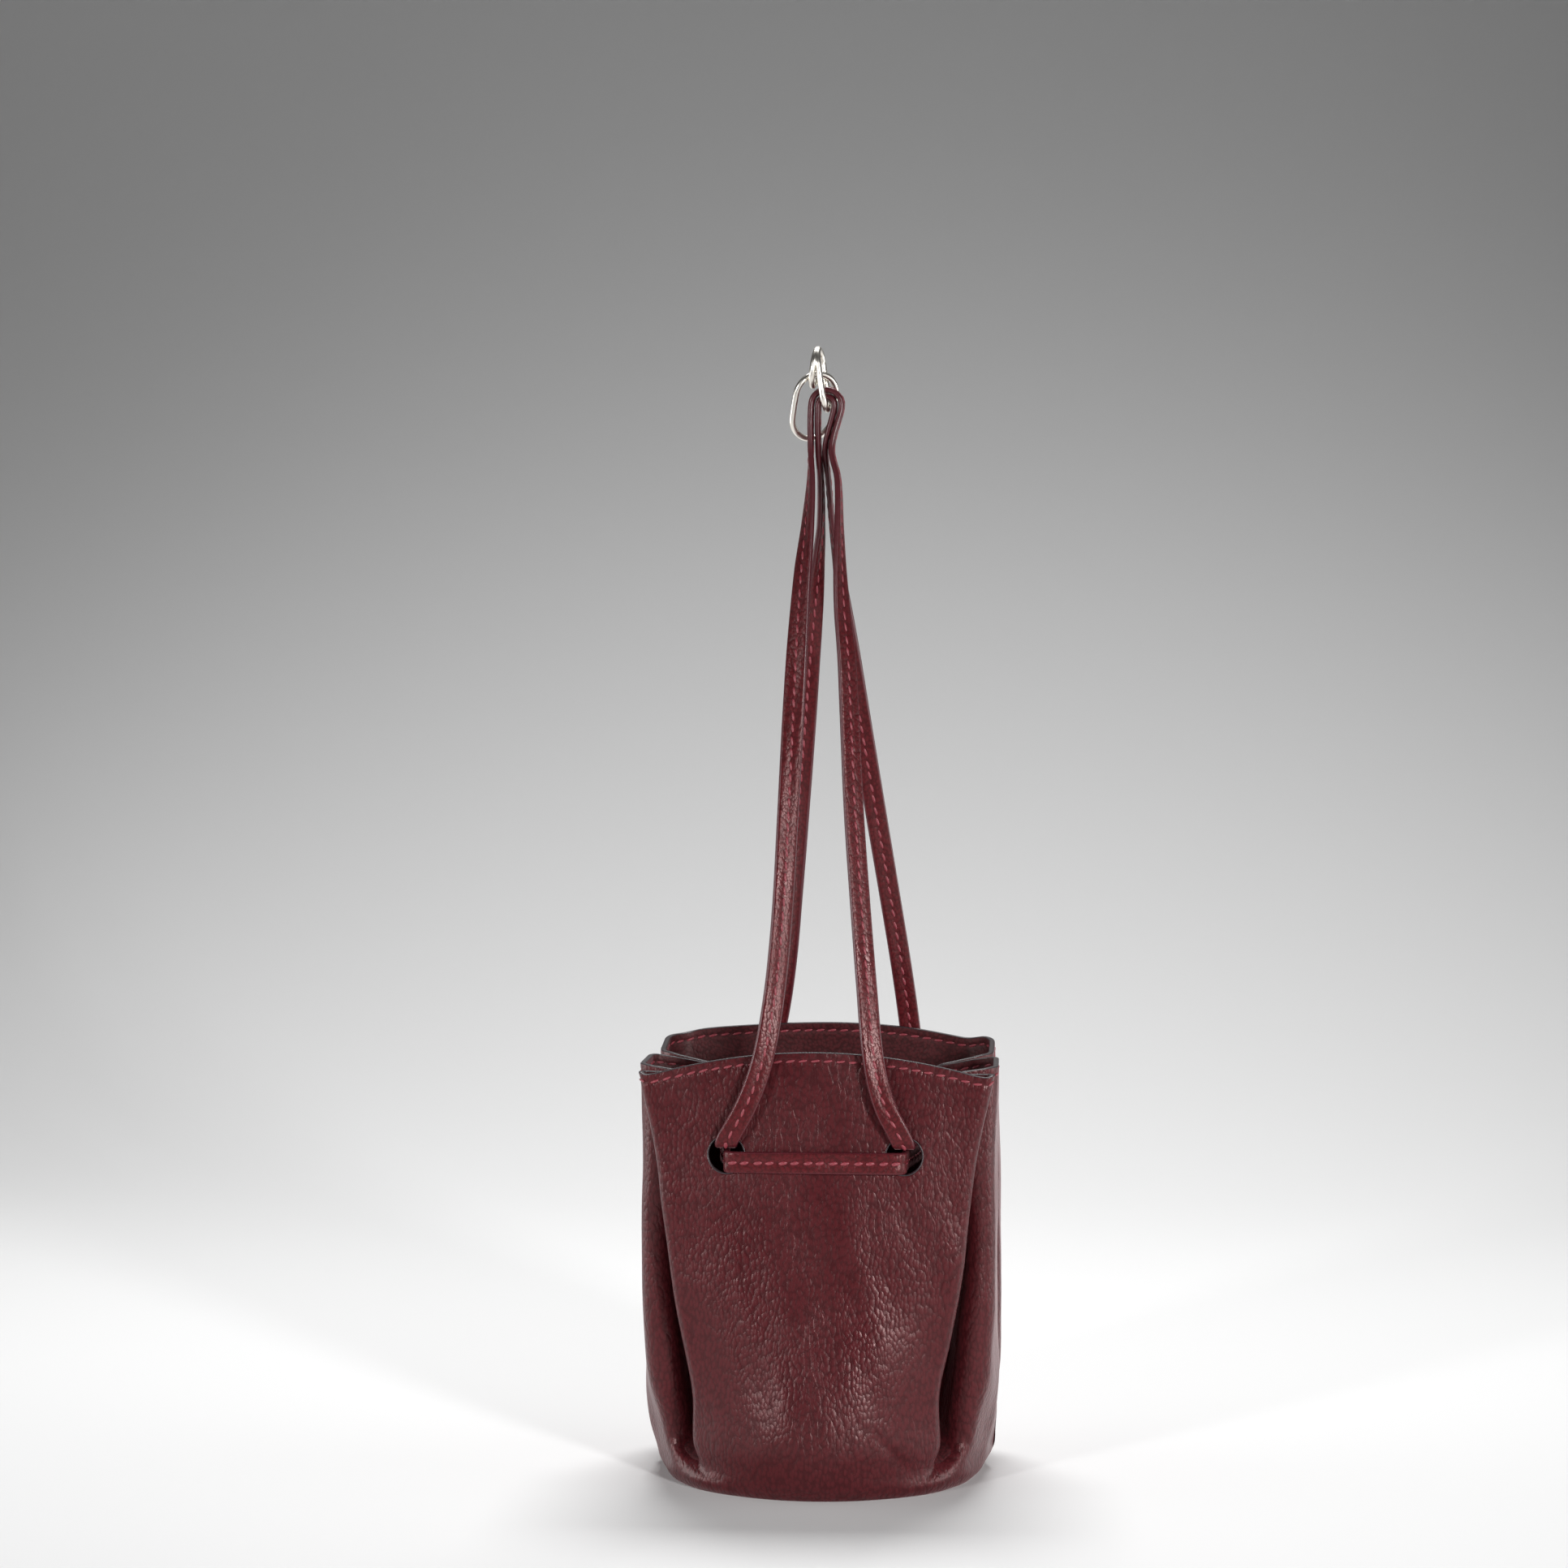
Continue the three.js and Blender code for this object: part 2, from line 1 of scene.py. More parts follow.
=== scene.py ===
"""Leather drawstring pouch: a folded bag with a round base, two stitched straps, a wire hook and a ring.

Lengths in the tables and functions are millimetres in the row frame; points are turned to metres
where a mesh is placed.
"""

import math

import bmesh
import bpy
from mathutils import Matrix, Vector, noise


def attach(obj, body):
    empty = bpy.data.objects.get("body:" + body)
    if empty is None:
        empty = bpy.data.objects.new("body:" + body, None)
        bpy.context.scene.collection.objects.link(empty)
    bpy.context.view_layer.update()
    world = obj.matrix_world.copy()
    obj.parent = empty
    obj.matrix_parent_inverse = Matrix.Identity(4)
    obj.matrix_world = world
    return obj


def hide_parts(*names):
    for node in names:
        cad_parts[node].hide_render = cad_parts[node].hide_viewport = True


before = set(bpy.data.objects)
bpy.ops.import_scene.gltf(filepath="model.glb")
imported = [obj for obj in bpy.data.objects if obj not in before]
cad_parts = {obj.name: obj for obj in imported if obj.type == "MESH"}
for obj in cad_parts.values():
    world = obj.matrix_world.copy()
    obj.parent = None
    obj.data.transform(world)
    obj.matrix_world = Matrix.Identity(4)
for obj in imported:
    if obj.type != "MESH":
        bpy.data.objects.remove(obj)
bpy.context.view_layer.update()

MM = 0.001

# Sizes, as in the part

BODY_HEIGHT = 115.0
HALF_WIDTH = 46.0
WALL = 1.4
HOLE_DIAMETER = 9.8
HOLE_HALF_SPACING = 23.0
HOLE_HEIGHT = 88.4

STRAP_WIDTH = 5.7
STRAP_THICKNESS = 1.5
CLEARANCE = 0.35

WIRE_DIAMETER = 1.6
HOOK_HEIGHT = 17.5
HOOK_WIDTH = 10.0
HOOK_BOTTOM = 280.0
HOOK_LEAN = 8.0
HOOK_TURN = 85.0
SHORT_LOOP_LIFT = 6.25
HOOK_X = 0.7
RING_HEIGHT = 19.4
RING_WIDTH = 13.2
RING_TURN = 30.0
RING_TILT = 19.0
RING_HANG = 7.2
RING_OFFSET = 0.2

# Bag section: small circles that the leather wraps around, as shares of the half width, at several
# shares of the height. A negative radius is a fold that turns inwards.
# Rows: height, x, y, radius.

FOLDS = (
    {"name": "crest", "angle": 38, "base_reach": 1.02, "rim_drop": 0.88, "rows": (
        (0.06, 0.530, -0.600, 0.125), (0.08, 0.561, -0.615, 0.102), (0.10, 0.593, -0.622, 0.093),
        (0.15, 0.622, -0.643, 0.065), (0.24, 0.628, -0.678, 0.057), (0.38, 0.704, -0.683, 0.046),
        (0.60, 0.796, -0.672, 0.037), (0.80, 0.857, -0.643, 0.033), (1.00, 0.958, -0.622, 0.030))},
    {"name": "pleat", "angle": 45, "base_reach": 1.03, "rim_drop": 0.92, "rows": (
        (0.06, 0.709, -0.674, -0.043), (0.08, 0.691, -0.557, -0.035), (0.10, 0.678, -0.439, -0.033),
        (0.15, 0.674, -0.380, -0.035), (0.24, 0.696, -0.359, -0.037), (0.38, 0.752, -0.348, -0.033),
        (0.60, 0.809, -0.446, -0.027), (0.80, 0.796, -0.565, -0.026), (1.00, 0.822, -0.565, -0.027))},
    {"name": "lobe", "angle": 58, "base_reach": 1.02, "rim_drop": 0.72, "rows": (
        (0.06, 0.678, -0.441, 0.143), (0.08, 0.765, -0.417, 0.096), (0.10, 0.800, -0.391, 0.074),
        (0.15, 0.817, -0.400, 0.085), (0.24, 0.861, -0.426, 0.096), (0.38, 0.893, -0.441, 0.091),
        (0.60, 0.920, -0.443, 0.070), (0.80, 0.889, -0.439, 0.098), (1.00, 0.905, -0.415, 0.098))},
    {"name": "cheek", "angle": 80, "base_reach": 1, "rim_drop": 0.72, "rows": (
        (0.06, 0.680, -0.120, 0.261), (0.10, 0.741, -0.128, 0.233), (0.15, 0.765, -0.130, 0.227),
        (0.24, 0.856, -0.145, 0.148), (0.38, 0.893, -0.152, 0.102), (0.60, 0.909, -0.163, 0.087),
        (0.80, 0.920, -0.152, 0.076), (1.00, 0.924, -0.100, 0.072))},
    {"name": "side valley", "angle": 93, "base_reach": 1, "rim_drop": 1.22, "rows": (
        (0.06, 1.261, 0.050, -0.283), (0.10, 1.185, 0.050, -0.202), (0.15, 1.120, 0.050, -0.130),
        (0.24, 1.046, 0.045, -0.085), (0.38, 0.957, 0.043, -0.046), (0.60, 0.841, 0.043, -0.030),
        (0.80, 0.765, 0.045, -0.026), (1.00, 0.685, 0.055, -0.025))},
    {"name": "rear cheek", "angle": 104, "base_reach": 1, "rim_drop": 0.81, "rows": (
        (0.06, 0.674, 0.207, 0.261), (0.10, 0.722, 0.209, 0.233), (0.15, 0.740, 0.210, 0.225),
        (0.24, 0.850, 0.230, 0.145), (0.38, 0.885, 0.235, 0.113), (0.60, 0.900, 0.240, 0.098),
        (0.80, 0.872, 0.245, 0.110), (1.00, 0.818, 0.255, 0.140))},
    {"name": "rear corner", "angle": 126, "base_reach": 1.02, "rim_drop": 0.46, "rows": (
        (0.06, 0.533, 0.402, 0.291), (0.10, 0.593, 0.413, 0.259), (0.15, 0.630, 0.420, 0.228),
        (0.24, 0.750, 0.425, 0.230), (0.38, 0.830, 0.435, 0.166), (0.60, 0.870, 0.445, 0.128),
        (0.80, 0.845, 0.450, 0.140), (1.00, 0.775, 0.455, 0.183))},
)

# How far out the middle of the front and the rear panel lies. Rows: height, front, rear.

PANEL_ROWS = (
    (0.06, 0.955, 0.953), (0.10, 0.967, 0.965), (0.15, 0.957, 0.950), (0.24, 0.913, 0.905),
    (0.38, 0.854, 0.848), (0.60, 0.772, 0.772), (0.80, 0.717, 0.717), (1.00, 0.674, 0.680),
)
PANEL_RIM_DROP = 6.4
REAR_RIM_SHARE = 0.62
REAR_RIM_SLOPE = 0.2
REAR_SLOPE_REACH = 30.0
PANEL_EDGE = 0.94
PANEL_BOW = 0.97

# Round base. Rows: height, radius.

BASE_ROWS = (
    (0.000, 0.893), (0.004, 0.902), (0.010, 0.912), (0.025, 0.929), (0.045, 0.945), (0.060, 0.953),
)
FOLD_START = 0.015
FOLD_FORMED = 0.06
BASE_FOLD_RADIUS = 0.6

# Straps. Rows: height above the holes as a share of the way to the hook, share of the reach at the
# holes, x of the left and right strand as shares of the hole spacing, and the angles in degrees
# between the width of each strand and the x axis.

FRONT_STRAP_ROWS = (
    (0.909, 0.106, -0.139, 0.170, 76, 88), (0.846, 0.206, -0.165, 0.196, 58, 80),
    (0.789, 0.286, -0.206, 0.212, 40, 66), (0.731, 0.352, -0.238, 0.245, 28, 52),
    (0.669, 0.424, -0.265, 0.300, 14, 42), (0.596, 0.498, -0.292, 0.338, 0, 36),
    (0.460, 0.636, -0.338, 0.405, -18, 32), (0.329, 0.770, -0.386, 0.495, -26, 30),
    (0.225, 0.876, -0.457, 0.574, -24, 26), (0.146, 0.955, -0.556, 0.639, -16, 20),
    (0.099, 0.988, -0.665, 0.709, -8, 10), (0.063, 1.005, -0.791, 0.809, -3, 4),
    (0.040, 1.005, -0.896, 0.909, 0, 0),
)
BACK_STRAP_ROWS = (
    (0.909, 0.106, -0.048, 0.039, 88, 88), (0.846, 0.206, -0.057, 0.074, 82, 82),
    (0.789, 0.286, -0.105, 0.135, 62, 66), (0.731, 0.352, -0.155, 0.195, 36, 46),
    (0.669, 0.424, -0.205, 0.262, 16, 26), (0.596, 0.498, -0.253, 0.345, 0, 10),
    (0.460, 0.636, -0.345, 0.515, -20, -8), (0.329, 0.770, -0.440, 0.685, -28, -16),
    (0.225, 0.876, -0.530, 0.817, -26, -16), (0.146, 0.955, -0.640, 0.904, -18, -10),
    (0.099, 0.988, -0.739, 0.948, -9, -6), (0.063, 1.005, -0.835, 0.978, -3, -2),
    (0.040, 1.005, -0.913, 0.991, 0, 0),
)
GATHER_HEIGHT = 0.951
GATHER_X = -0.6
STRAP_SEAT_RISE = 1.2
INNER_SEAT_RADIUS = 2.15
STRAP_PITCH = STRAP_THICKNESS + CLEARANCE
BEND_RADIUS = 1.6
UPPER_LANE = 2.6
LOWER_LANE = -1.6
INNER_SIDESTEP = 2.8
CROSSING_FLAT = 0.99

FRONT_STRAP_RUN = {
    "seat": INNER_SEAT_RADIUS + STRAP_PITCH, "lane": 1.5, "sidestep": -INNER_SIDESTEP, "mirror": 1,
}
BACK_STRAP_RUN = {
    "seat": INNER_SEAT_RADIUS, "lane": 0.5, "sidestep": INNER_SIDESTEP, "mirror": -1,
}

# Seams. Their thread pulls the leather in, and no thread shows in the hollow of a tight fold.

RIM_STITCH_DEPTH = 2.2  # below the rim
RIM_SEAM_SINK = 0.17
RIM_SEAM_WIDTH = 0.55
RIM_THREAD_LIFT = 0.04
STRAP_SEAM_SINK = 0.13
STRAP_SEAM_WIDTH = 0.75
STRAP_THREAD_LIFT = 0.03
TIGHT_FOLD = 3.0  # radius
STITCH_PITCH = 3.25
STITCH_LENGTH = 2.4
THREAD_WIDTH = 0.74
THREAD_HEIGHT = 0.46
STITCH_SLANT = 9
CROSSING_PLUMP = 1.5  # stitches swell where the strap is pulled flat over a panel


# Numbers


def clamp(value, low=0.0, high=1.0):
    return min(max(value, low), high)


def mix(a, b, share):
    return a + (b - a) * share


def smooth(value, low, high):
    """0 below low, 1 above high, with a soft change between."""
    t = clamp((value - low) / (high - low))
    return t * t * (3 - 2 * t)


def smooth_row(rows, height):
    """Every column of a table at a height, on a smooth curve through its rows."""
    last = len(rows) - 1
    i = 0
    while i < last - 1 and height > rows[i + 1][0]:
        i += 1
    before, low, high = rows[max(i - 1, 0)], rows[i], rows[i + 1]
    after = rows[min(i + 2, last)]
    span = high[0] - low[0]
    t = clamp((height - low[0]) / span)
    values = []
    for b, start, end, a in zip(before, low, high, after):
        slope_in = span * (end - b) / (high[0] - before[0])
        slope_out = span * (a - start) / (after[0] - low[0])
        values.append(
            start * (2 * t**3 - 3 * t**2 + 1) + slope_in * (t**3 - 2 * t**2 + t)
            + end * (3 * t**2 - 2 * t**3) + slope_out * (t**3 - t**2)
        )
    return values


# Shape of the bag


def section_circles(height):
    """Circles of one level, counterclockwise from the front panel: x, y, radius and rim drop."""
    round_radius = smooth_row(BASE_ROWS, min(height, FOLD_FORMED))[1] * HALF_WIDTH
    blend = smooth(height, FOLD_START, FOLD_FORMED)
    side = []
    for fold in FOLDS:
        _, x, y, radius = smooth_row(fold["rows"], max(height, FOLD_FORMED))
        base_radius = BASE_FOLD_RADIUS * round_radius
        reach = fold["base_reach"] * round_radius - base_radius
        angle = math.radians(fold["angle"])
        side.append((
            mix(reach * math.sin(angle), x * HALF_WIDTH, blend),
            mix(-reach * math.cos(angle), y * HALF_WIDTH, blend),
            mix(base_radius, radius * HALF_WIDTH, blend),
            fold["rim_drop"] * PANEL_RIM_DROP,
        ))
    panels = []
    for column, facing, corner in ((1, -1, side[0]), (2, 1, side[-1])):
        share = smooth_row(PANEL_ROWS, max(height, FOLD_FORMED))[column]
        reach = mix(round_radius, share * HALF_WIDTH, blend)
        inset = reach - abs(corner[1])
        meeting = (corner[0] ** 2 + inset**2 - corner[2] ** 2) / (2 * (inset - corner[2]))
        radius = PANEL_BOW * meeting
        panels.append((0.0, facing * (reach - radius), radius, None))
    mirrored = [(-x, y, radius, drop) for x, y, radius, drop in reversed(side)]
    return [panels[0], *side, panels[1], *mirrored]


ARC_STEPS = 24
TURN_SLACK = 0.5  # how far the wall may turn against a fold's own way, in radians
FOLD_CLOSENESS = 3.2  # extra columns round a fold, in mm of length for each radian of turn
DROP_BLEND = 0.25  # share of a span in which a panel's rim drop passes into a fold's


def section_outline(height):
    """Circles of one level, and a fine outline along the middle of the wall round them.

    Each spot of the outline holds x, y, the heading along the wall and the radius of its circle. The
    last list says which spot is the middle of each circle's arc.
    """
    circles = section_circles(height)
    count = len(circles)
    headings = []
    for i, (x, y, radius, _) in enumerate(circles):
        next_x, next_y, next_radius, _ = circles[(i + 1) % count]
        slant = (next_radius - radius) / math.hypot(next_x - x, next_y - y)
        headings.append(math.atan2(next_y - y, next_x - x) - math.asin(clamp(slant, -1, 1)))
    spots = []
    middles = []
    for i, (x, y, radius, _) in enumerate(circles):
        start = headings[i - 1]
        lean = TURN_SLACK if radius > 0 else 2 * math.pi - TURN_SLACK
        turn = (headings[i] - start + lean) % (2 * math.pi) - lean
        middles.append(len(spots) + ARC_STEPS // 2)
        for k in range(ARC_STEPS + 1):
            heading = start + turn * k / ARC_STEPS
            across, along = math.sin(heading), -math.cos(heading)
            spots.append((x + radius * across, y + radius * along, heading, radius))
    return circles, spots, middles


def rim_bow(x, y):
    """How far the rim has dropped at a place on a panel; the rear one hangs a little to the right."""
    share = 1 if y < 0 else REAR_RIM_SHARE + REAR_RIM_SLOPE * clamp(x / REAR_SLOPE_REACH, -1, 1)
    return PANEL_RIM_DROP * share * (x / (PANEL_EDGE * HALF_WIDTH)) ** 2


# Columns of the bag's mesh between the middles of neighbouring circles, for one side of the bag

SPAN_COLUMNS = (42, 20, 22, 22, 24, 24, 22, 36)
COLUMNS = 2 * sum(SPAN_COLUMNS)


def bag_columns(height):
    """Each column's place at one level: x, y, outward direction, rim drop and the fold's radius."""
    circles, spots, middles = section_outline(height)
    total = len(spots)
    counts = list(SPAN_COLUMNS) + list(reversed(SPAN_COLUMNS))
    columns = []
    for i, count in enumerate(counts):
        first, last = middles[i], middles[(i + 1) % len(middles)]
        if last <= first:
            last += total
        run = [spots[k % total] for k in range(first, last + 1)]
        costs = [0.0]
        for a, b in zip(run, run[1:]):
            turn = abs((b[2] - a[2] + math.pi) % (2 * math.pi) - math.pi)
            costs.append(costs[-1] + math.hypot(b[0] - a[0], b[1] - a[1]) + FOLD_CLOSENESS * turn)
        drop_here, drop_next = circles[i][3], circles[(i + 1) % len(circles)][3]
        k = 0
        for step in range(count):
            wanted = costs[-1] * step / count
            while costs[k + 1] < wanted:
                k += 1
            t = (wanted - costs[k]) / max(costs[k + 1] - costs[k], 1e-9)
            a, b = run[k], run[k + 1]
            x, y = mix(a[0], b[0], t), mix(a[1], b[1], t)
            turn = (b[2] - a[2] + math.pi) % (2 * math.pi) - math.pi
            heading = a[2] + turn * t
            panel_drop = rim_bow(x, y)
            share = step / count
            if drop_here is None:
                drop = mix(panel_drop, drop_next, smooth(share, 1 - DROP_BLEND, 1))
            elif drop_next is None:
                drop = mix(drop_here, panel_drop, smooth(share, 0, DROP_BLEND))
            else:
                drop = mix(drop_here, drop_next, smooth(share, 0, 1))
            columns.append((x, y, math.sin(heading), -math.cos(heading), drop, min(a[3], b[3])))
    return columns


LEVEL_STEPS = 160
LEVEL_PASSES = 12
FIXED_LEVELS = 6  # of the round base


def smoothed_levels():
    """Columns at evenly spaced heights, evened out from level to level above the round base."""
    levels = [bag_columns(k / LEVEL_STEPS) for k in range(LEVEL_STEPS + 1)]
    for _ in range(LEVEL_PASSES):
        evened = levels[:FIXED_LEVELS]
        freed = levels[FIXED_LEVELS - 1:]
        for below, here, above in zip(freed, freed[1:], freed[2:]):
            evened.append([
                tuple((b + 2 * h + a) / 4 for b, h, a in zip(low, middle, high))
                for low, middle, high in zip(below, here, above)
            ])
        evened.append(levels[-1])
        levels = evened
    return levels


def level_at(levels, height):
    """Columns at any share of the height, between those of the levels."""
    place = clamp(height) * LEVEL_STEPS
    low = min(int(place), LEVEL_STEPS - 1)
    share = place - low
    return [
        tuple(mix(a, b, share) for a, b in zip(lower, upper))
        for lower, upper in zip(levels[low], levels[low + 1])
    ]


BAG_LEVELS = smoothed_levels()


def panel_reach(height):
    """How far out the middle of the front panel lies."""
    return smooth_row(PANEL_ROWS, height)[1] * HALF_WIDTH


def panel_surface(x, z, facing):
    """How far out the middle of the wall lies on a panel, at a point seen from the front or rear."""
    drop = rim_bow(x, facing)
    circles = section_circles(z / (BODY_HEIGHT - drop))
    _, y, radius, _ = circles[0] if facing < 0 else circles[len(FOLDS) + 1]
    return abs(y + facing * math.sqrt(radius**2 - x**2))


def crease(x, z, start, end, width):
    """1 on the line between two places of the front panel, fading beside it and towards its ends."""
    along = Vector((end[0] - start[0], end[1] - start[1]))
    here = Vector((x - start[0], z - start[1]))
    share = here.dot(along) / along.length_squared
    aside = abs(here.x * along.y - here.y * along.x) / along.length
    return math.exp(-((aside / width) ** 2)) * smooth(share, -0.05, 0.3) * smooth(-share, -1.05, -0.75)


# Long creases of the front panel. Rows: x and z of the start, x and z of the end, width, depth.
# They mark only the leather in front of FRONT_PANEL_Y.

CREASES = (
    ((14, 20), (25, 6), 0.9, 0.45),
    ((10, 24), (16, 12), 0.9, 0.2),
    ((-24, 62), (-15, 22), 1.2, 0.15),
)
FRONT_PANEL_Y = -25


def relief(x, y, z):
    """Gentle unevenness of the soft leather, flat near the rim, the holes and the straps."""
    low = noise.noise(Vector((x / 15, y / 15, z / 19 + 3))) * 0.45
    pulls = noise.noise(Vector(((x + 0.35 * z) / 6.5, y / 6.5, z / 26))) * 0.22
    hole = min(math.hypot(abs(x) - HOLE_HALF_SPACING, z - HOLE_HEIGHT), 60)
    calm = smooth(hole, 7, 16) * smooth(abs(z - HOLE_HEIGHT), 2, 16) * smooth(BODY_HEIGHT - z, 3, 20)
    shift = (low + pulls) * mix(0.12, 1, calm) * smooth(z, 1, 12)
    if y < FRONT_PANEL_Y:
        for start, end, width, depth in CREASES:
            shift -= depth * crease(x, z, start, end, width)
    return shift


# Mesh helpers


def wrapped_grid(columns, rows, place):
    """A grid whose columns run once around and whose points are moved to place(row, column)."""
    bm = bmesh.new()
    bmesh.ops.create_grid(bm, x_segments=columns, y_segments=rows - 1, size=1)
    for vert in bm.verts:
        column = round((vert.co.x + 1) / 2 * columns) % columns
        row = round((vert.co.y + 1) / 2 * (rows - 1))
        vert.co = place(row, column) * MM
    return bm


def finish_piece(name, bm, materials, nodes=()):
    """Closes seams, turns faces outwards and makes the piece's object."""
    bmesh.ops.remove_doubles(bm, verts=bm.verts, dist=1e-8)
    bmesh.ops.dissolve_degenerate(bm, edges=bm.edges, dist=1e-8)
    bmesh.ops.recalc_face_normals(bm, faces=bm.faces)
    for face in bm.faces:
        face.smooth = True
    mesh = bpy.data.meshes.new(name)
    bm.to_mesh(mesh)
    bm.free()
    piece = bpy.data.objects.new(name, mesh)
    bpy.context.scene.collection.objects.link(piece)
    for material in materials:
        mesh.materials.append(material)
    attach(piece, "root")
    if nodes:
        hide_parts(*nodes)
    return piece


def apply_boolean(piece, other, operation):
    modifier = piece.modifiers.new("cut", "BOOLEAN")
    modifier.operation = operation
    modifier.solver = "EXACT"
    modifier.object = other
    evaluated = piece.evaluated_get(bpy.context.evaluated_depsgraph_get())
    mesh = bpy.data.meshes.new_from_object(evaluated)
    piece.modifiers.clear()
    piece.data = mesh
    bpy.data.objects.remove(other)


# Materials


def linear(colour):
    """A colour from an sRGB hex value."""
    shares = [int(colour[i : i + 2], 16) / 255 for i in (1, 3, 5)]
    return tuple(s / 12.92 if s <= 0.04045 else ((s + 0.055) / 1.055) ** 2.4 for s in shares) + (1.0,)


def add_node(material, kind, inputs=(), **settings):
    """Adds a node with its settings; inputs are socket names or numbers with a value or a link."""
    tree = material.node_tree
    node = tree.nodes.new(kind)
    for setting, value in settings.items():
        setattr(node, setting, value)
    for socket, value in dict(inputs).items():
        if isinstance(value, bpy.types.NodeSocket):
            tree.links.new(value, node.inputs[socket])
        else:
            node.inputs[socket].default_value = value
    return node


def new_material(name):
    material = bpy.data.materials.new(name)
    material.use_nodes = True
    return material, material.node_tree.nodes["Principled BSDF"]


def per_mm(size):
    """Scale of a pattern on Object coordinates, in metres, that gives it this size in millimetres."""
    return 1 / (size * MM)


def grained_leather(name, base, worn, groove_shade, roughness, grain_size, stretch, depth):
    """Drum-softened calf, dyed through and glazed.

    The eye reads a fine pebble drawn out along the pull of the leather, thin creases that catch the
    light, and a slightly uneven, deep red with a low gloss. The grooves between the pebbles are
    painted darker, as shade that falls in them. A faint bloom of wax pales the sides that turn away.
    """
    material, shader = new_material(name)
    place = add_node(material, "ShaderNodeTexCoord").outputs["Object"]
    drift = add_node(material, "ShaderNodeTexNoise", {"Vector": place, "Scale": per_mm(5), "Detail": 2})
    centred = add_node(
        material, "ShaderNodeVectorMath", {0: drift.outputs["Color"], 1: (0.5, 0.5, 0.5)},
        operation="SUBTRACT")
    bent = add_node(
        material, "ShaderNodeVectorMath",
        {0: centred.outputs["Vector"], 1: (1.6 * MM,) * 3, 2: place}, operation="MULTIPLY_ADD")
    drawn = add_node(
        material, "ShaderNodeMapping",
        {"Vector": bent.outputs["Vector"], "Rotation": (0, math.radians(17), 0), "Scale": (1, 1, stretch)})
    pebble = add_node(
        material, "ShaderNodeTexVoronoi", {"Vector": drawn.outputs["Vector"], "Scale": per_mm(grain_size)})
    hollow = add_node(
        material, "ShaderNodeMath", {0: pebble.outputs["Distance"], 1: 1.7}, operation="POWER")
    creased = add_node(
        material, "ShaderNodeMapping",
        {"Vector": bent.outputs["Vector"], "Rotation": (0, math.radians(22), 0), "Scale": (1, 1, 0.3)})
    crease_lines = add_node(
        material, "ShaderNodeTexVoronoi",
        {"Vector": creased.outputs["Vector"], "Scale": per_mm(2.3), "Randomness": 1.0},
        feature="DISTANCE_TO_EDGE")
    crease_height = add_node(
        material, "ShaderNodeMapRange", {"Value": crease_lines.outputs["Distance"], "From Max": 0.1},
        interpolation_type="SMOOTHSTEP")
    patches = add_node(
        material, "ShaderNodeTexNoise", {"Vector": drawn.outputs["Vector"], "Scale": per_mm(13), "Detail": 2})
    creased_here = add_node(
        material, "ShaderNodeMapRange",
        {"Value": patches.outputs["Fac"], "From Min": 0.48, "From Max": 0.64, "To Min": 0.0, "To Max": 0.5})
    crease_share = add_node(
        material, "ShaderNodeMath", {0: crease_height.outputs["Result"], 1: creased_here.outputs["Result"]},
        operation="MULTIPLY")
    fine = add_node(
        material, "ShaderNodeTexNoise",
        {"Vector": drawn.outputs["Vector"], "Scale": per_mm(0.45), "Detail": 3, "Roughness": 0.6})
    height = add_node(
        material, "ShaderNodeMath",
        {0: hollow.outputs["Value"], 1: -1.1, 2: crease_share.outputs["Value"]}, operation="MULTIPLY_ADD")
    full_height = add_node(
        material, "ShaderNodeMath", {0: fine.outputs["Fac"], 1: 0.3, 2: height.outputs["Value"]},
        operation="MULTIPLY_ADD")
    bump = add_node(
        material, "ShaderNodeBump",
        {"Height": full_height.outputs["Value"], "Strength": 1.0, "Distance": depth * MM})
    dye = add_node(material, "ShaderNodeTexNoise", {"Vector": place, "Scale": per_mm(24), "Detail": 4})
    tone = add_node(
        material, "ShaderNodeMix",
        {"Factor": dye.outputs["Fac"], "A": linear(base), "B": linear(worn)}, data_type="RGBA")
    # Painted shade: the grooves between the pebbles are darkened towards the third colour, standing in for
    # the shade that falls in them.
    painted_groove_shade = add_node(
        material, "ShaderNodeMapRange",
        {"Value": hollow.outputs["Value"], "From Min": 0.5, "From Max": 0.15})
    colour = add_node(
        material, "ShaderNodeMix",
        {"Factor": painted_groove_shade.outputs["Result"], "A": linear(groove_shade), "B": tone.outputs["Result"]},
        data_type="RGBA")
    gloss = add_node(
        material, "ShaderNodeMapRange",
        {"Value": patches.outputs["Fac"], "From Min": 0.3, "From Max": 0.7,
         "To Min": roughness - 0.05, "To Max": roughness + 0.07})
    tree = material.node_tree
    tree.links.new(colour.outputs["Result"], shader.inputs["Base Color"])
    tree.links.new(gloss.outputs["Result"], shader.inputs["Roughness"])
    tree.links.new(bump.outputs["Normal"], shader.inputs["Normal"])
    shader.inputs["IOR"].default_value = 1.45
    shader.inputs["Specular IOR Level"].default_value = 0.45
    shader.inputs["Specular Tint"].default_value = linear("#f4cfcd")
    shader.inputs["Sheen Weight"].default_value = 0.3
    shader.inputs["Sheen Roughness"].default_value = 0.35
    shader.inputs["Sheen Tint"].default_value = linear("#e6b4b8")
    return material


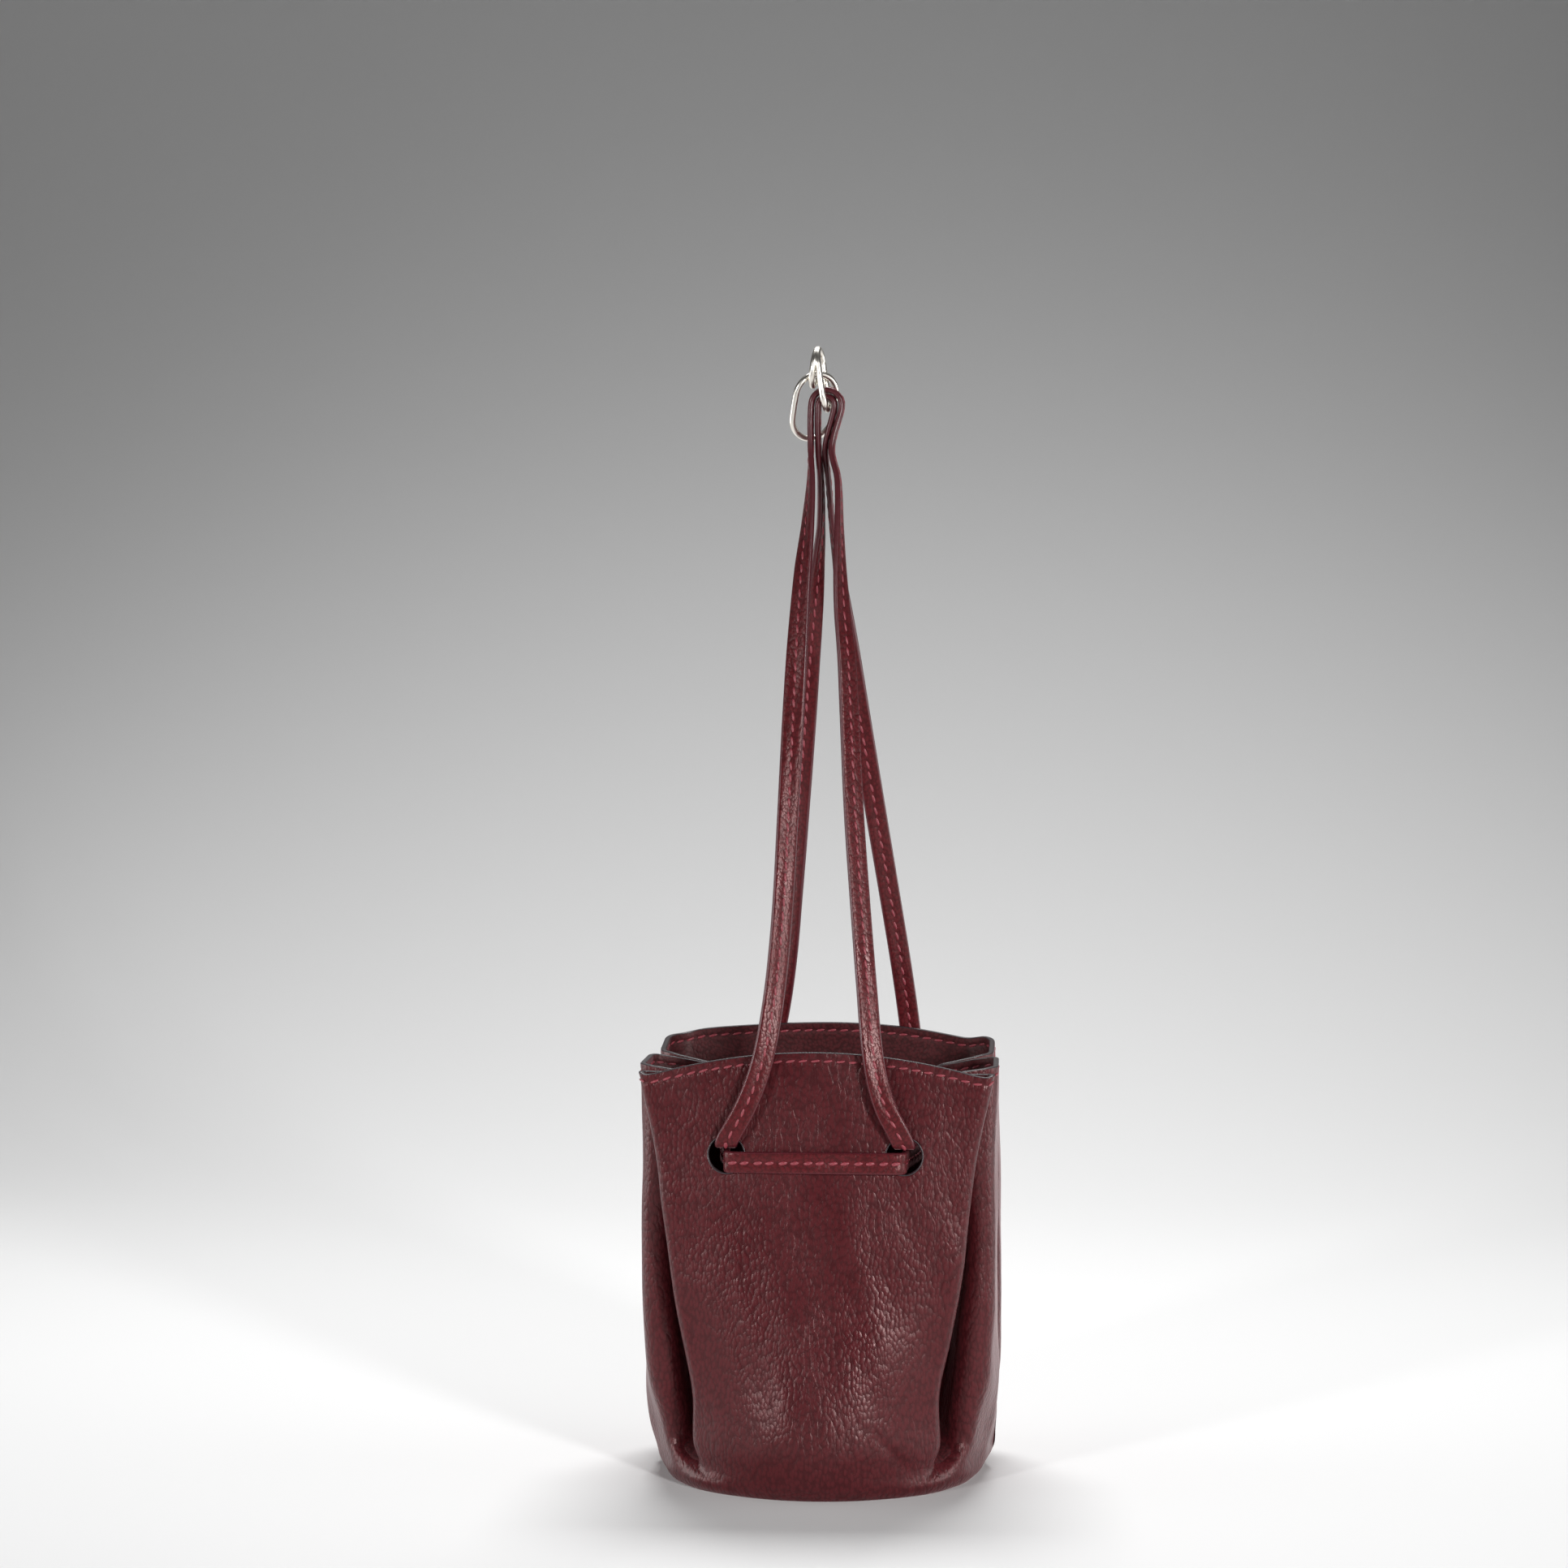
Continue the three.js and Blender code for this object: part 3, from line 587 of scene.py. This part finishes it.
def painted_edge(name, colour, other, roughness):
    """Edge paint, built up by hand: an opaque, softly shining coat with a faint waviness."""
    material, shader = new_material(name)
    place = add_node(material, "ShaderNodeTexCoord").outputs["Object"]
    waves = add_node(material, "ShaderNodeTexNoise", {"Vector": place, "Scale": per_mm(1.8), "Detail": 3})
    bump = add_node(
        material, "ShaderNodeBump", {"Height": waves.outputs["Fac"], "Strength": 0.5, "Distance": 0.1 * MM})
    shade = add_node(
        material, "ShaderNodeMix",
        {"Factor": waves.outputs["Fac"], "A": linear(colour), "B": linear(other)}, data_type="RGBA")
    material.node_tree.links.new(shade.outputs["Result"], shader.inputs["Base Color"])
    material.node_tree.links.new(bump.outputs["Normal"], shader.inputs["Normal"])
    shader.inputs["Roughness"].default_value = roughness
    return material


def waxed_thread():
    """Waxed linen thread: a rose red with the twist of its plies showing as fine slanting ridges."""
    material, shader = new_material("waxed_rose_linen_thread")
    place = add_node(material, "ShaderNodeTexCoord").outputs["Object"]
    twist = add_node(
        material, "ShaderNodeTexNoise", {"Vector": place, "Scale": per_mm(0.5), "Detail": 2})
    bump = add_node(
        material, "ShaderNodeBump", {"Height": twist.outputs["Fac"], "Strength": 0.7, "Distance": 0.1 * MM})
    shade = add_node(
        material, "ShaderNodeMix",
        {"Factor": twist.outputs["Fac"], "A": linear("#6f232d"), "B": linear("#963f49")}, data_type="RGBA")
    material.node_tree.links.new(shade.outputs["Result"], shader.inputs["Base Color"])
    material.node_tree.links.new(bump.outputs["Normal"], shader.inputs["Normal"])
    shader.inputs["Roughness"].default_value = 0.42
    return material


def plated_metal():
    """Palladium-plated brass: a warm, pale shine softened by the marks of polishing."""
    material, shader = new_material("palladium_plated_brass")
    place = add_node(material, "ShaderNodeTexCoord").outputs["Object"]
    marks = add_node(material, "ShaderNodeTexNoise", {"Vector": place, "Scale": per_mm(0.9), "Detail": 3})
    gloss = add_node(
        material, "ShaderNodeMapRange", {"Value": marks.outputs["Fac"], "To Min": 0.26, "To Max": 0.38})
    material.node_tree.links.new(gloss.outputs["Result"], shader.inputs["Roughness"])
    shader.inputs["Base Color"].default_value = linear("#f7f2e9")
    shader.inputs["Metallic"].default_value = 1
    return material


# The third colour of each leather is painted shade for the grooves between its pebbles.
LEATHER = grained_leather(
    "glazed_burgundy_calf", base="#47161a", worn="#4f1b20", groove_shade="#3c1216",
    roughness=0.32, grain_size=0.9, stretch=0.55, depth=0.1)
INNER_LEATHER = grained_leather(
    "burgundy_calf_lining", base="#40161a", worn="#4a1b1f", groove_shade="#321013",
    roughness=0.5, grain_size=0.8, stretch=0.9, depth=0.05)
STRAP_LEATHER = grained_leather(
    "burgundy_strap_calf", base="#4d1217", worn="#59191f", groove_shade="#400f13",
    roughness=0.34, grain_size=0.8, stretch=0.8, depth=0.06)
EDGE_PAINT = painted_edge("dark_painted_rim", "#1f191b", "#3a2b30", roughness=0.36)
STRAP_EDGE = painted_edge("painted_strap_edge", "#5a1f27", "#45171d", roughness=0.32)
THREAD = waxed_thread()
METAL = plated_metal()


# Bag


SEAM_DEPTHS = (0.9, 1.4, 1.8, 2.2, 2.6, 3.0, 3.5, 4.0)
SEAM_BAND = 4.5  # the levels below it are evenly spaced


def seam_groove(depth):
    """Shift of the surface at a depth below the rim; the band above the seam stays a little proud."""
    return -RIM_SEAM_SINK * math.exp(-(((depth - RIM_STITCH_DEPTH) / RIM_SEAM_WIDTH) ** 2))


def bag_rows():
    """Levels of the bag's mesh: share of the height, half walls outwards, lift and spread."""
    outer = [0, 0.0025, 0.006, 0.011, 0.018, 0.026, 0.035, 0.045, 0.055, 0.064]
    levels = 110
    start, end = outer[-1], 1 - SEAM_BAND / BODY_HEIGHT
    outer += [mix(start, end, (k + 1) / levels) for k in range(levels)]
    outer += [1 - depth / BODY_HEIGHT for depth in reversed(SEAM_DEPTHS)]
    rows = [(0.0, 1.0, 0.0, share) for share in (0.0, 0.3, 0.6, 0.85, 0.96)]
    rows += [(height, 1.0, 0.0, 1.0) for height in outer]
    rim = ((1.0, -0.45), (1.0, -0.25), (0.93, -0.1), (0.78, -0.03), (0.4, 0.0),
           (-0.4, 0.0), (-0.78, -0.03), (-0.93, -0.1), (-1.0, -0.25), (-1.0, -0.45))
    rows += [(1.0, side, lift, 1.0) for side, lift in rim]
    rows += [(1 - depth / BODY_HEIGHT, -1.0, 0.0, 1.0) for depth in SEAM_DEPTHS]
    inner_levels = 56
    rows += [(mix(end, 0, k / inner_levels), -1.0, 0.0, 1.0) for k in range(inner_levels + 1)]
    rows += [(0.0, -1.0, 0.0, share) for share in (0.9, 0.6, 0.3, 0.0)]
    return rows


def make_bag():
    """The leather bag with its painted rim, drilled for the straps."""
    rows = bag_rows()
    levels = [level_at(BAG_LEVELS, row[0]) for row in rows]

    def place(row, column):
        height, side, lift, spread = rows[row]
        x, y, out_x, out_y, drop, _ = levels[row][column]
        z = height * (BODY_HEIGHT - drop)
        shift = side * (WALL / 2 + seam_groove((1 - height) * BODY_HEIGHT)) + relief(x, y, z)
        floor = 0.0 if side > 0 else WALL * (1 - height)
        return Vector(((x + out_x * shift) * spread, (y + out_y * shift) * spread, z + floor + lift))

    bm = wrapped_grid(COLUMNS, len(rows), place)
    painted = [i for i, row in enumerate(rows) if row[0] == 1 and row[2] > -0.3]
    for face in bm.faces:
        row = face.index // COLUMNS
        if painted[0] <= row < painted[-1]:
            face.material_index = 1
        elif row >= painted[-1]:
            face.material_index = 2
    bag = finish_piece(
        "pouch_leather", bm, [LEATHER, EDGE_PAINT, INNER_LEATHER], ["pouch_body"])
    for side in (-1, 1):
        drill = bmesh.new()
        bmesh.ops.create_cone(
            drill, cap_ends=True, segments=64, radius1=HOLE_DIAMETER / 2 * MM,
            radius2=HOLE_DIAMETER / 2 * MM, depth=4 * HALF_WIDTH * MM,
            matrix=Matrix.Translation(Vector((side * HOLE_HALF_SPACING, 0, HOLE_HEIGHT)) * MM)
            @ Matrix.Rotation(math.pi / 2, 4, "X"),
        )
        cutter_mesh = bpy.data.meshes.new("drill")
        drill.to_mesh(cutter_mesh)
        drill.free()
        cutter = bpy.data.objects.new("drill", cutter_mesh)
        bpy.context.scene.collection.objects.link(cutter)
        apply_boolean(bag, cutter, "DIFFERENCE")


# Sweeps along a closed path


def through(points, steps):
    """Closed smooth curve through points, with steps places in each span."""
    count = len(points)
    places = []
    for i in range(count):
        p0, p1, p2, p3 = (points[(i + k - 1) % count] for k in range(4))
        gaps = [max((b - a).length ** 0.5, 1e-4) for a, b in ((p0, p1), (p1, p2), (p2, p3))]
        tangent1 = (p1 - p0) / gaps[0] - (p2 - p0) / (gaps[0] + gaps[1]) + (p2 - p1) / gaps[1]
        tangent2 = (p2 - p1) / gaps[1] - (p3 - p1) / (gaps[1] + gaps[2]) + (p3 - p2) / gaps[2]
        tangent1 *= gaps[1]
        tangent2 *= gaps[1]
        for k in range(steps):
            t = k / steps
            places.append(
                p1 * (2 * t**3 - 3 * t**2 + 1) + tangent1 * (t**3 - 2 * t**2 + t)
                + p2 * (3 * t**2 - 2 * t**3) + tangent2 * (t**3 - t**2)
            )
    return places


def even_frames(path, spacing):
    """Evenly spaced frames along a closed path of (place, across), and the path's length.

    A frame holds a place and the directions across, outward and along the path.
    """
    steps = 24
    fine = through([place for place, _ in path], steps)
    sides = []
    for i, (_, across) in enumerate(path):
        following = path[(i + 1) % len(path)][1]
        sides += [across.lerp(following, k / steps) for k in range(steps)]
    total = [0.0]
    for a, b in zip(fine, fine[1:] + fine[:1]):
        total.append(total[-1] + (b - a).length)
    count = round(total[-1] / spacing)
    frames = []
    k = 0
    for i in range(count):
        wanted = total[-1] * i / count
        while total[k + 1] < wanted:
            k += 1
        t = (wanted - total[k]) / (total[k + 1] - total[k])
        following = (k + 1) % len(fine)
        frames.append((fine[k].lerp(fine[following], t), sides[k].lerp(sides[following], t)))
    turned = []
    for i, (place, across) in enumerate(frames):
        tangent = (frames[(i + 1) % count][0] - frames[i - 1][0]).normalized()
        across = (across - tangent * across.dot(tangent)).normalized()
        turned.append((place, across, across.cross(tangent), tangent))
    return turned, total[-1]


def sweep(frames, outline):
    """Closed tube with the outline's points (across, outward) at every frame."""

    def place(row, column):
        spot, across, outward, _ = frames[row % len(frames)]
        u, v = outline[column]
        return spot + across * u + outward * v

    return wrapped_grid(len(outline), len(frames) + 1, place)


def strap_half(rows, run, side):
    """One half of a strap's loop, from the top down a strand, through the bag to the far panel."""
    half = []
    right = side > 0
    crossing = HOLE_HEIGHT + LOWER_LANE

    def reach_at(z):
        return panel_reach(z / BODY_HEIGHT)

    lean = (reach_at(crossing - STRAP_WIDTH / 2) - reach_at(crossing + STRAP_WIDTH / 2)) / STRAP_WIDTH
    middle = reach_at(crossing) + WALL / 2 + CLEARANCE + STRAP_THICKNESS / 2
    face = middle * CROSSING_FLAT
    seat = HOOK_BOTTOM + WIRE_DIAMETER / 2 + STRAP_SEAT_RISE
    for angle in (90, 60, 30, 0):
        if right or angle < 90:
            turn = math.radians(angle)
            x = HOOK_X + side * run["seat"] * math.cos(turn)
            half.append((Vector((x, 0, seat + run["seat"] * math.sin(turn))), Vector((0, -1, 0))))
    rise = HOOK_BOTTOM - HOLE_HEIGHT
    gather_x = GATHER_X + side * run["lane"] * STRAP_PITCH
    gather = Vector((gather_x, -rows[0][1] * middle / 3, HOLE_HEIGHT + GATHER_HEIGHT * rise))
    half.append((gather, Vector((0, -1, 0))))
    for height, out, left_x, right_x, left_turn, right_turn in rows:
        turn = math.radians(right_turn if right else left_turn)
        x = (right_x if right else left_x) * HOLE_HALF_SPACING
        half.append((
            Vector((x, -out * middle, HOLE_HEIGHT + height * rise)),
            Vector((-side * math.cos(turn), -math.sin(turn), 0)),
        ))
    hole = side * HOLE_HALF_SPACING
    upper = HOLE_HEIGHT + UPPER_LANE
    lower = HOLE_HEIGHT + LOWER_LANE
    bend = BEND_RADIUS * (1 - math.sqrt(0.5))
    step = hole + side * run["sidestep"]
    flat = Vector((-side, 0, 0))
    upright = Vector((0, 0, -1))
    leaning = Vector((0, lean, -1))
    half += [
        (Vector((side * (HOLE_HALF_SPACING - bend), -face, upper + BEND_RADIUS)), flat),
        (Vector((hole, -face + bend, upper + bend)), flat),
        (Vector((hole, -face + BEND_RADIUS, upper)), flat),
        (Vector((hole, -face + 3 * BEND_RADIUS, upper)), flat),
        (Vector((step, -HOLE_HALF_SPACING * 0.65, upper)), flat),
        (Vector((step, 0, (upper + lower) / 2)), Vector((-side, 0, -1))),
        (Vector((step, HOLE_HALF_SPACING * 0.55, lower)), upright),
        (Vector((hole, face - 3 * BEND_RADIUS, lower)), upright),
        (Vector((hole, face - BEND_RADIUS, lower)), upright),
        (Vector((hole - side * bend, face - bend, lower)), upright),
        (Vector((hole - side * BEND_RADIUS, face, lower)), leaning),
        (Vector((hole * 0.6, face + (middle - face) * 0.7, lower)), leaning),
    ]
    if right:
        half.append((Vector((0, middle, lower)), leaning))
    return half


def strap_frames(rows, run, spacing):
    path = strap_half(rows, run, 1) + list(reversed(strap_half(rows, run, -1)))
    for place, across in path:
        place.y *= run["mirror"]
        across.y *= run["mirror"]
    return even_frames(path, spacing)


STRAP_STEP = 0.7
STRAP_FACE = (-2.45, -2.0, -1.3, -0.7, -0.3, 0.0, 0.3, 0.7, 1.3, 2.0, 2.45)  # points across a face
STRAP_BEVEL = 0.1  # how far a face has fallen away where its painted edge starts
STRAP_EDGE_ROUND = 0.4
STRAP_EDGE_INSET = 0.12  # how far the painted edge stays within each face


def strap_outline():
    """Section of a strap: rounded painted edges and faces drawn in a little along the seam."""
    half_width, half_thick = STRAP_WIDTH / 2, STRAP_THICKNESS / 2
    points = []
    for side in (1, -1):
        for u in STRAP_FACE:
            seam = STRAP_SEAM_SINK * math.exp(-((u / STRAP_SEAM_WIDTH) ** 2))
            sink = seam + STRAP_BEVEL * smooth(abs(u), 1.9, 2.5)
            points.append((-side * u, -side * (half_thick - sink)))
        for angle in (60, 30, 0, -30, -60):
            turn = math.radians(angle)
            points.append((
                -side * (half_width - STRAP_EDGE_ROUND * (1 - math.cos(turn))),
                -side * (half_thick - STRAP_EDGE_INSET) * math.sin(turn),
            ))
    return points


def make_strap(name, node, rows, run):
    """A strap: two leather faces and two painted edges, carried along its loop."""
    frames, _ = strap_frames(rows, run, STRAP_STEP)
    outline = strap_outline()
    bm = sweep(frames, outline)
    for face in bm.faces:
        column = face.index % len(outline)
        if column % (len(outline) // 2) >= len(STRAP_FACE) - 1:
            face.material_index = 1
    finish_piece(name, bm, [STRAP_LEATHER, STRAP_EDGE], [node])


# Stitches


def stitch_shape():
    """One stitch lying along X: a plump thread that dives into the leather at both ends."""
    bm = bmesh.new()
    lengthwise = Matrix.Rotation(math.pi / 2, 4, "Y")
    bmesh.ops.create_uvsphere(bm, u_segments=8, v_segments=6, radius=1, matrix=lengthwise)
    half = Vector((STITCH_LENGTH, THREAD_WIDTH, THREAD_HEIGHT)) * (MM / 2)
    bmesh.ops.scale(bm, vec=half, verts=bm.verts)
    mesh = bpy.data.meshes.new("stitch")
    bm.to_mesh(mesh)
    bm.free()
    return mesh


STITCH = stitch_shape()
STRAP_SEAM_STEP = 0.5


def add_stitch(bm, place, along, outward, plump=1.0):
    """Lays one stitch on the leather, turned a little across the seam."""
    across = outward.cross(along).normalized()
    turn = math.radians(STITCH_SLANT)
    forward = along * math.cos(turn) + across * math.sin(turn)
    axes = Matrix((forward, outward.cross(forward), outward)).transposed().to_4x4()
    stitch = STITCH.copy()
    stitch.transform(Matrix.Translation(place * MM) @ axes @ Matrix.Diagonal((1, plump, plump, 1)))
    bm.from_mesh(stitch)
    bpy.data.meshes.remove(stitch)


def make_strap_stitches(name, rows, run):
    frames, length = strap_frames(rows, run, STRAP_SEAM_STEP)
    count = round(length / STITCH_PITCH)
    lift = STRAP_THICKNESS / 2 - STRAP_SEAM_SINK + STRAP_THREAD_LIFT
    bm = bmesh.new()
    for side in (1, -1):
        for i in range(count):
            spot, _, outward, tangent = frames[round((i + 0.5) * len(frames) / count) % len(frames)]
            crossing = abs(spot.x) < HOLE_HALF_SPACING and abs(spot.z - HOLE_HEIGHT) < STRAP_WIDTH
            plump = CROSSING_PLUMP if crossing else 1.0
            add_stitch(bm, spot + outward * (side * lift), tangent, outward * side, plump)
    finish_piece(name, bm, [THREAD])


def make_rim_stitches():
    """The seam along the rim, on both faces."""
    height = 1 - RIM_STITCH_DEPTH / BODY_HEIGHT
    level = level_at(BAG_LEVELS, height)
    places = []
    for x, y, out_x, out_y, drop, fold in level:
        z = height * (BODY_HEIGHT - drop)
        places.append((Vector((x, y, z)), Vector((out_x, out_y, 0)).normalized(), fold))
    total = [0.0]
    for here, following in zip(places, places[1:] + places[:1]):
        total.append(total[-1] + (following[0] - here[0]).length)
    count = round(total[-1] / STITCH_PITCH)
    lift = WALL / 2 - RIM_SEAM_SINK + RIM_THREAD_LIFT
    bm = bmesh.new()
    k = 0
    for i in range(count):
        wanted = total[-1] * i / count
        while total[k + 1] < wanted:
            k += 1
        share = (wanted - total[k]) / (total[k + 1] - total[k])
        here, following = places[k], places[(k + 1) % len(places)]
        spot = here[0].lerp(following[0], share)
        outward = here[1].lerp(following[1], share).normalized()
        along = (following[0] - here[0]).normalized()
        outward = (outward - along * outward.dot(along)).normalized()
        spot += outward * relief(*spot)
        for side in (1, -1):
            fold = min(here[2], following[2]) * side
            if -TIGHT_FOLD < fold < 0:
                continue
            add_stitch(bm, spot + outward * (side * lift), along, outward * side)
    finish_piece("rim_stitches", bm, [THREAD])


HOLE_PAINT_RADIUS = HOLE_DIAMETER / 2 + 0.2
HOLE_PAINT_HALF = WALL / 2 + 0.04
HOLE_STEPS = 56


def hole_edge_outline():
    """Section of the painted edge: how far into the hole, and how far out from the wall's middle."""
    half = HOLE_PAINT_HALF
    outer = [(0.0, half - 0.12), (0.12, half), (0.34, half - 0.02), (0.5, half - 0.14)]
    return [(inward, -out) for inward, out in outer] + outer[::-1]


def hole_edge(side, facing):
    """The painted edge of one hole, following the uneven leather round it."""
    outline = hole_edge_outline()

    def place(row, column):
        turn = 2 * math.pi * (row % HOLE_STEPS) / HOLE_STEPS
        across, up = math.cos(turn), math.sin(turn)
        inward, outward = outline[column]
        hole_x = side * HOLE_HALF_SPACING
        edge_x = hole_x + HOLE_DIAMETER / 2 * across
        edge_z = HOLE_HEIGHT + HOLE_DIAMETER / 2 * up
        reach = panel_surface(edge_x, edge_z, facing)
        reach += relief(edge_x, facing * reach, edge_z) + outward
        radius = HOLE_PAINT_RADIUS - inward
        return Vector((hole_x + radius * across, facing * reach, HOLE_HEIGHT + radius * up))

    return wrapped_grid(len(outline), HOLE_STEPS + 1, place)


def make_hole_edges():
    """The cut edge of each strap hole, painted like the rim."""
    bm = bmesh.new()
    for facing in (-1, 1):
        for side in (-1, 1):
            edge = hole_edge(side, facing)
            mesh = bpy.data.meshes.new("hole_edge")
            edge.to_mesh(mesh)
            edge.free()
            bm.from_mesh(mesh)
            bpy.data.meshes.remove(mesh)
    finish_piece("hole_edges", bm, [EDGE_PAINT])


# Wire pieces


def oval_path(width, height, steps):
    """The middle of an upright wire oval, as (place, across)."""
    radius = (width - WIRE_DIAMETER) / 2
    straight = max(height - width, 0) / 2
    path = []
    for end in (1, -1):
        for i in range(steps + 1):
            angle = (0 if end > 0 else math.pi) + math.pi * i / steps
            spot = Vector((radius * math.cos(angle), 0, radius * math.sin(angle) + end * straight))
            path.append((spot, Vector((0, 1, 0))))
    return path


WIRE_SIDES = 16
WIRE_STEP = 0.35
END_STEPS = 12


def wire_outline():
    radius = WIRE_DIAMETER / 2
    angles = [2 * math.pi * i / WIRE_SIDES for i in range(WIRE_SIDES)]
    return [(radius * math.cos(angle), -radius * math.sin(angle)) for angle in angles]


def wire_loop(width, height, place):
    """Wire oval, moved by a matrix in millimetres."""
    frames, _ = even_frames(oval_path(width, height, END_STEPS), WIRE_STEP)
    bm = sweep(frames, wire_outline())
    bmesh.ops.scale(bm, vec=Vector((1, 1, 1)) / MM, verts=bm.verts)
    bmesh.ops.transform(bm, matrix=place, verts=bm.verts)
    bmesh.ops.scale(bm, vec=Vector((1, 1, 1)) * MM, verts=bm.verts)
    return bm


def make_hardware():
    """The hook, bent into a long and a short loop, and the ring that hangs in its top."""
    lean = math.radians(HOOK_LEAN)
    turn = math.radians(HOOK_TURN)
    reach = HOOK_HEIGHT - WIRE_DIAMETER
    top = Vector((
        HOOK_X - reach * math.sin(lean),
        0,
        HOOK_BOTTOM + WIRE_DIAMETER + reach * math.cos(lean),
    ))
    loops = []
    for name, height, side, nodes in (
        ("hook_wire", HOOK_HEIGHT, -1, ["strap_hook"]),
        ("short_loop", HOOK_HEIGHT - SHORT_LOOP_LIFT, 1, []),
    ):
        place = (
            Matrix.Translation(top)
            @ Matrix.Rotation(side * lean, 4, "Y")
            @ Matrix.Rotation(turn, 4, "Z")
            @ Matrix.Translation((0, 0, -height / 2))
        )
        wire = wire_loop(HOOK_WIDTH, height, place)
        loops.append(finish_piece(name, wire, [METAL], nodes))
    apply_boolean(loops[0], loops[1], "UNION")
    ring_place = (
        Matrix.Translation((top.x + RING_OFFSET, 0, top.z - RING_HANG))
        @ Matrix.Rotation(math.radians(RING_TURN), 4, "Z")
        @ Matrix.Rotation(math.radians(RING_TILT), 4, "X")
        @ Matrix.Translation((0, 0, -RING_HEIGHT / 2 + WIRE_DIAMETER / 2))
    )
    ring = wire_loop(RING_WIDTH, RING_HEIGHT, ring_place)
    finish_piece("ring_wire", ring, [METAL], ["oval_ring"])


make_bag()
make_strap("front_strap_leather", "front_strap", FRONT_STRAP_ROWS, FRONT_STRAP_RUN)
make_strap("back_strap_leather", "back_strap", BACK_STRAP_ROWS, BACK_STRAP_RUN)
make_strap_stitches("front_strap_stitches", FRONT_STRAP_ROWS, FRONT_STRAP_RUN)
make_strap_stitches("back_strap_stitches", BACK_STRAP_ROWS, BACK_STRAP_RUN)
make_rim_stitches()
make_hole_edges()
make_hardware()


# Stage, light and camera, in metres


FLOOR_HALF_WIDTH = 2.5
FLOOR_FRONT = -1.6
FLOOR_LENGTH = 3.8
FLOOR_TURN_START = 0.4
FLOOR_TURN_RADIUS = 0.6


def make_floor():
    """A sheet of pale paper that runs back and curves up into the backdrop."""
    bm = bmesh.new()
    bmesh.ops.create_grid(bm, x_segments=2, y_segments=96, size=1)
    arc = FLOOR_TURN_RADIUS * math.pi / 2
    for vert in bm.verts:
        along = (vert.co.y + 1) / 2 * FLOOR_LENGTH + FLOOR_FRONT
        angle = clamp((along - FLOOR_TURN_START) / arc) * math.pi / 2
        past = max(along - FLOOR_TURN_START - arc, 0)
        vert.co = Vector((
            vert.co.x * FLOOR_HALF_WIDTH,
            min(along, FLOOR_TURN_START) + FLOOR_TURN_RADIUS * math.sin(angle),
            FLOOR_TURN_RADIUS * (1 - math.cos(angle)) + past,
        ))
    mesh = bpy.data.meshes.new("floor")
    bm.to_mesh(mesh)
    bm.free()
    floor = bpy.data.objects.new("floor", mesh)
    bpy.context.scene.collection.objects.link(floor)
    for face in mesh.polygons:
        face.use_smooth = True
    material, shader = new_material("pale_studio_paper")
    shader.inputs["Base Color"].default_value = (0.8, 0.8, 0.8, 1)
    shader.inputs["Roughness"].default_value = 0.95
    shader.inputs["Specular IOR Level"].default_value = 0.1
    mesh.materials.append(material)


def add_softbox(name, spot, target, width, height, power, spread):
    light = bpy.data.lights.new(name, "AREA")
    light.shape = "RECTANGLE"
    light.size = width
    light.size_y = height
    light.energy = power
    light.spread = math.radians(spread)
    lamp = bpy.data.objects.new(name, light)
    lamp.location = spot
    lamp.rotation_euler = (Vector(target) - Vector(spot)).to_track_quat("-Z", "Y").to_euler()
    bpy.context.scene.collection.objects.link(lamp)


def add_camera():
    """Camera about 1.1 m in front, a little to the right, looking slightly down."""
    camera = bpy.data.cameras.new("camera")
    camera.lens = 95.8
    camera.sensor_width = 36
    camera.shift_x = -0.0255
    holder = bpy.data.objects.new("camera", camera)
    holder.location = (0.07673, -1.09732, 0.258)
    holder.rotation_euler = (math.radians(86.06), 0, math.radians(4))
    bpy.context.scene.collection.objects.link(holder)
    bpy.context.scene.camera = holder


make_floor()

# Two softboxes draw the highlights on the front, and a strip on each side lights the folds. The one
# overhead lights the paper and throws a soft shadow forward.

add_softbox(
    "right_softbox", spot=(0.62, -0.95, 0.33), target=(0, 0, 0.08),
    width=0.13, height=0.24, power=0.95, spread=60)
add_softbox(
    "left_softbox", spot=(-0.66, -0.9, 0.33), target=(0, 0, 0.08),
    width=0.11, height=0.24, power=0.48, spread=60)
for strip_name, strip_x in (("right_side_strip", 0.62), ("left_side_strip", -0.62)):
    add_softbox(
        strip_name, spot=(strip_x, 0, 0.12), target=(0, 0, 0.06),
        width=0.6, height=0.24, power=0.45, spread=80)
add_softbox(
    "overhead_softbox", spot=(0, 0.55, 1.25), target=(0, 0.12, 0),
    width=0.7, height=0.35, power=4.5, spread=90)
world = bpy.data.worlds.new("studio")
world.use_nodes = True
world.node_tree.nodes["Background"].inputs["Color"].default_value = linear("#b0b0b0")
world.node_tree.nodes["Background"].inputs["Strength"].default_value = 0.1
bpy.context.scene.world = world
bpy.context.scene.view_settings.view_transform = "Standard"
add_camera()
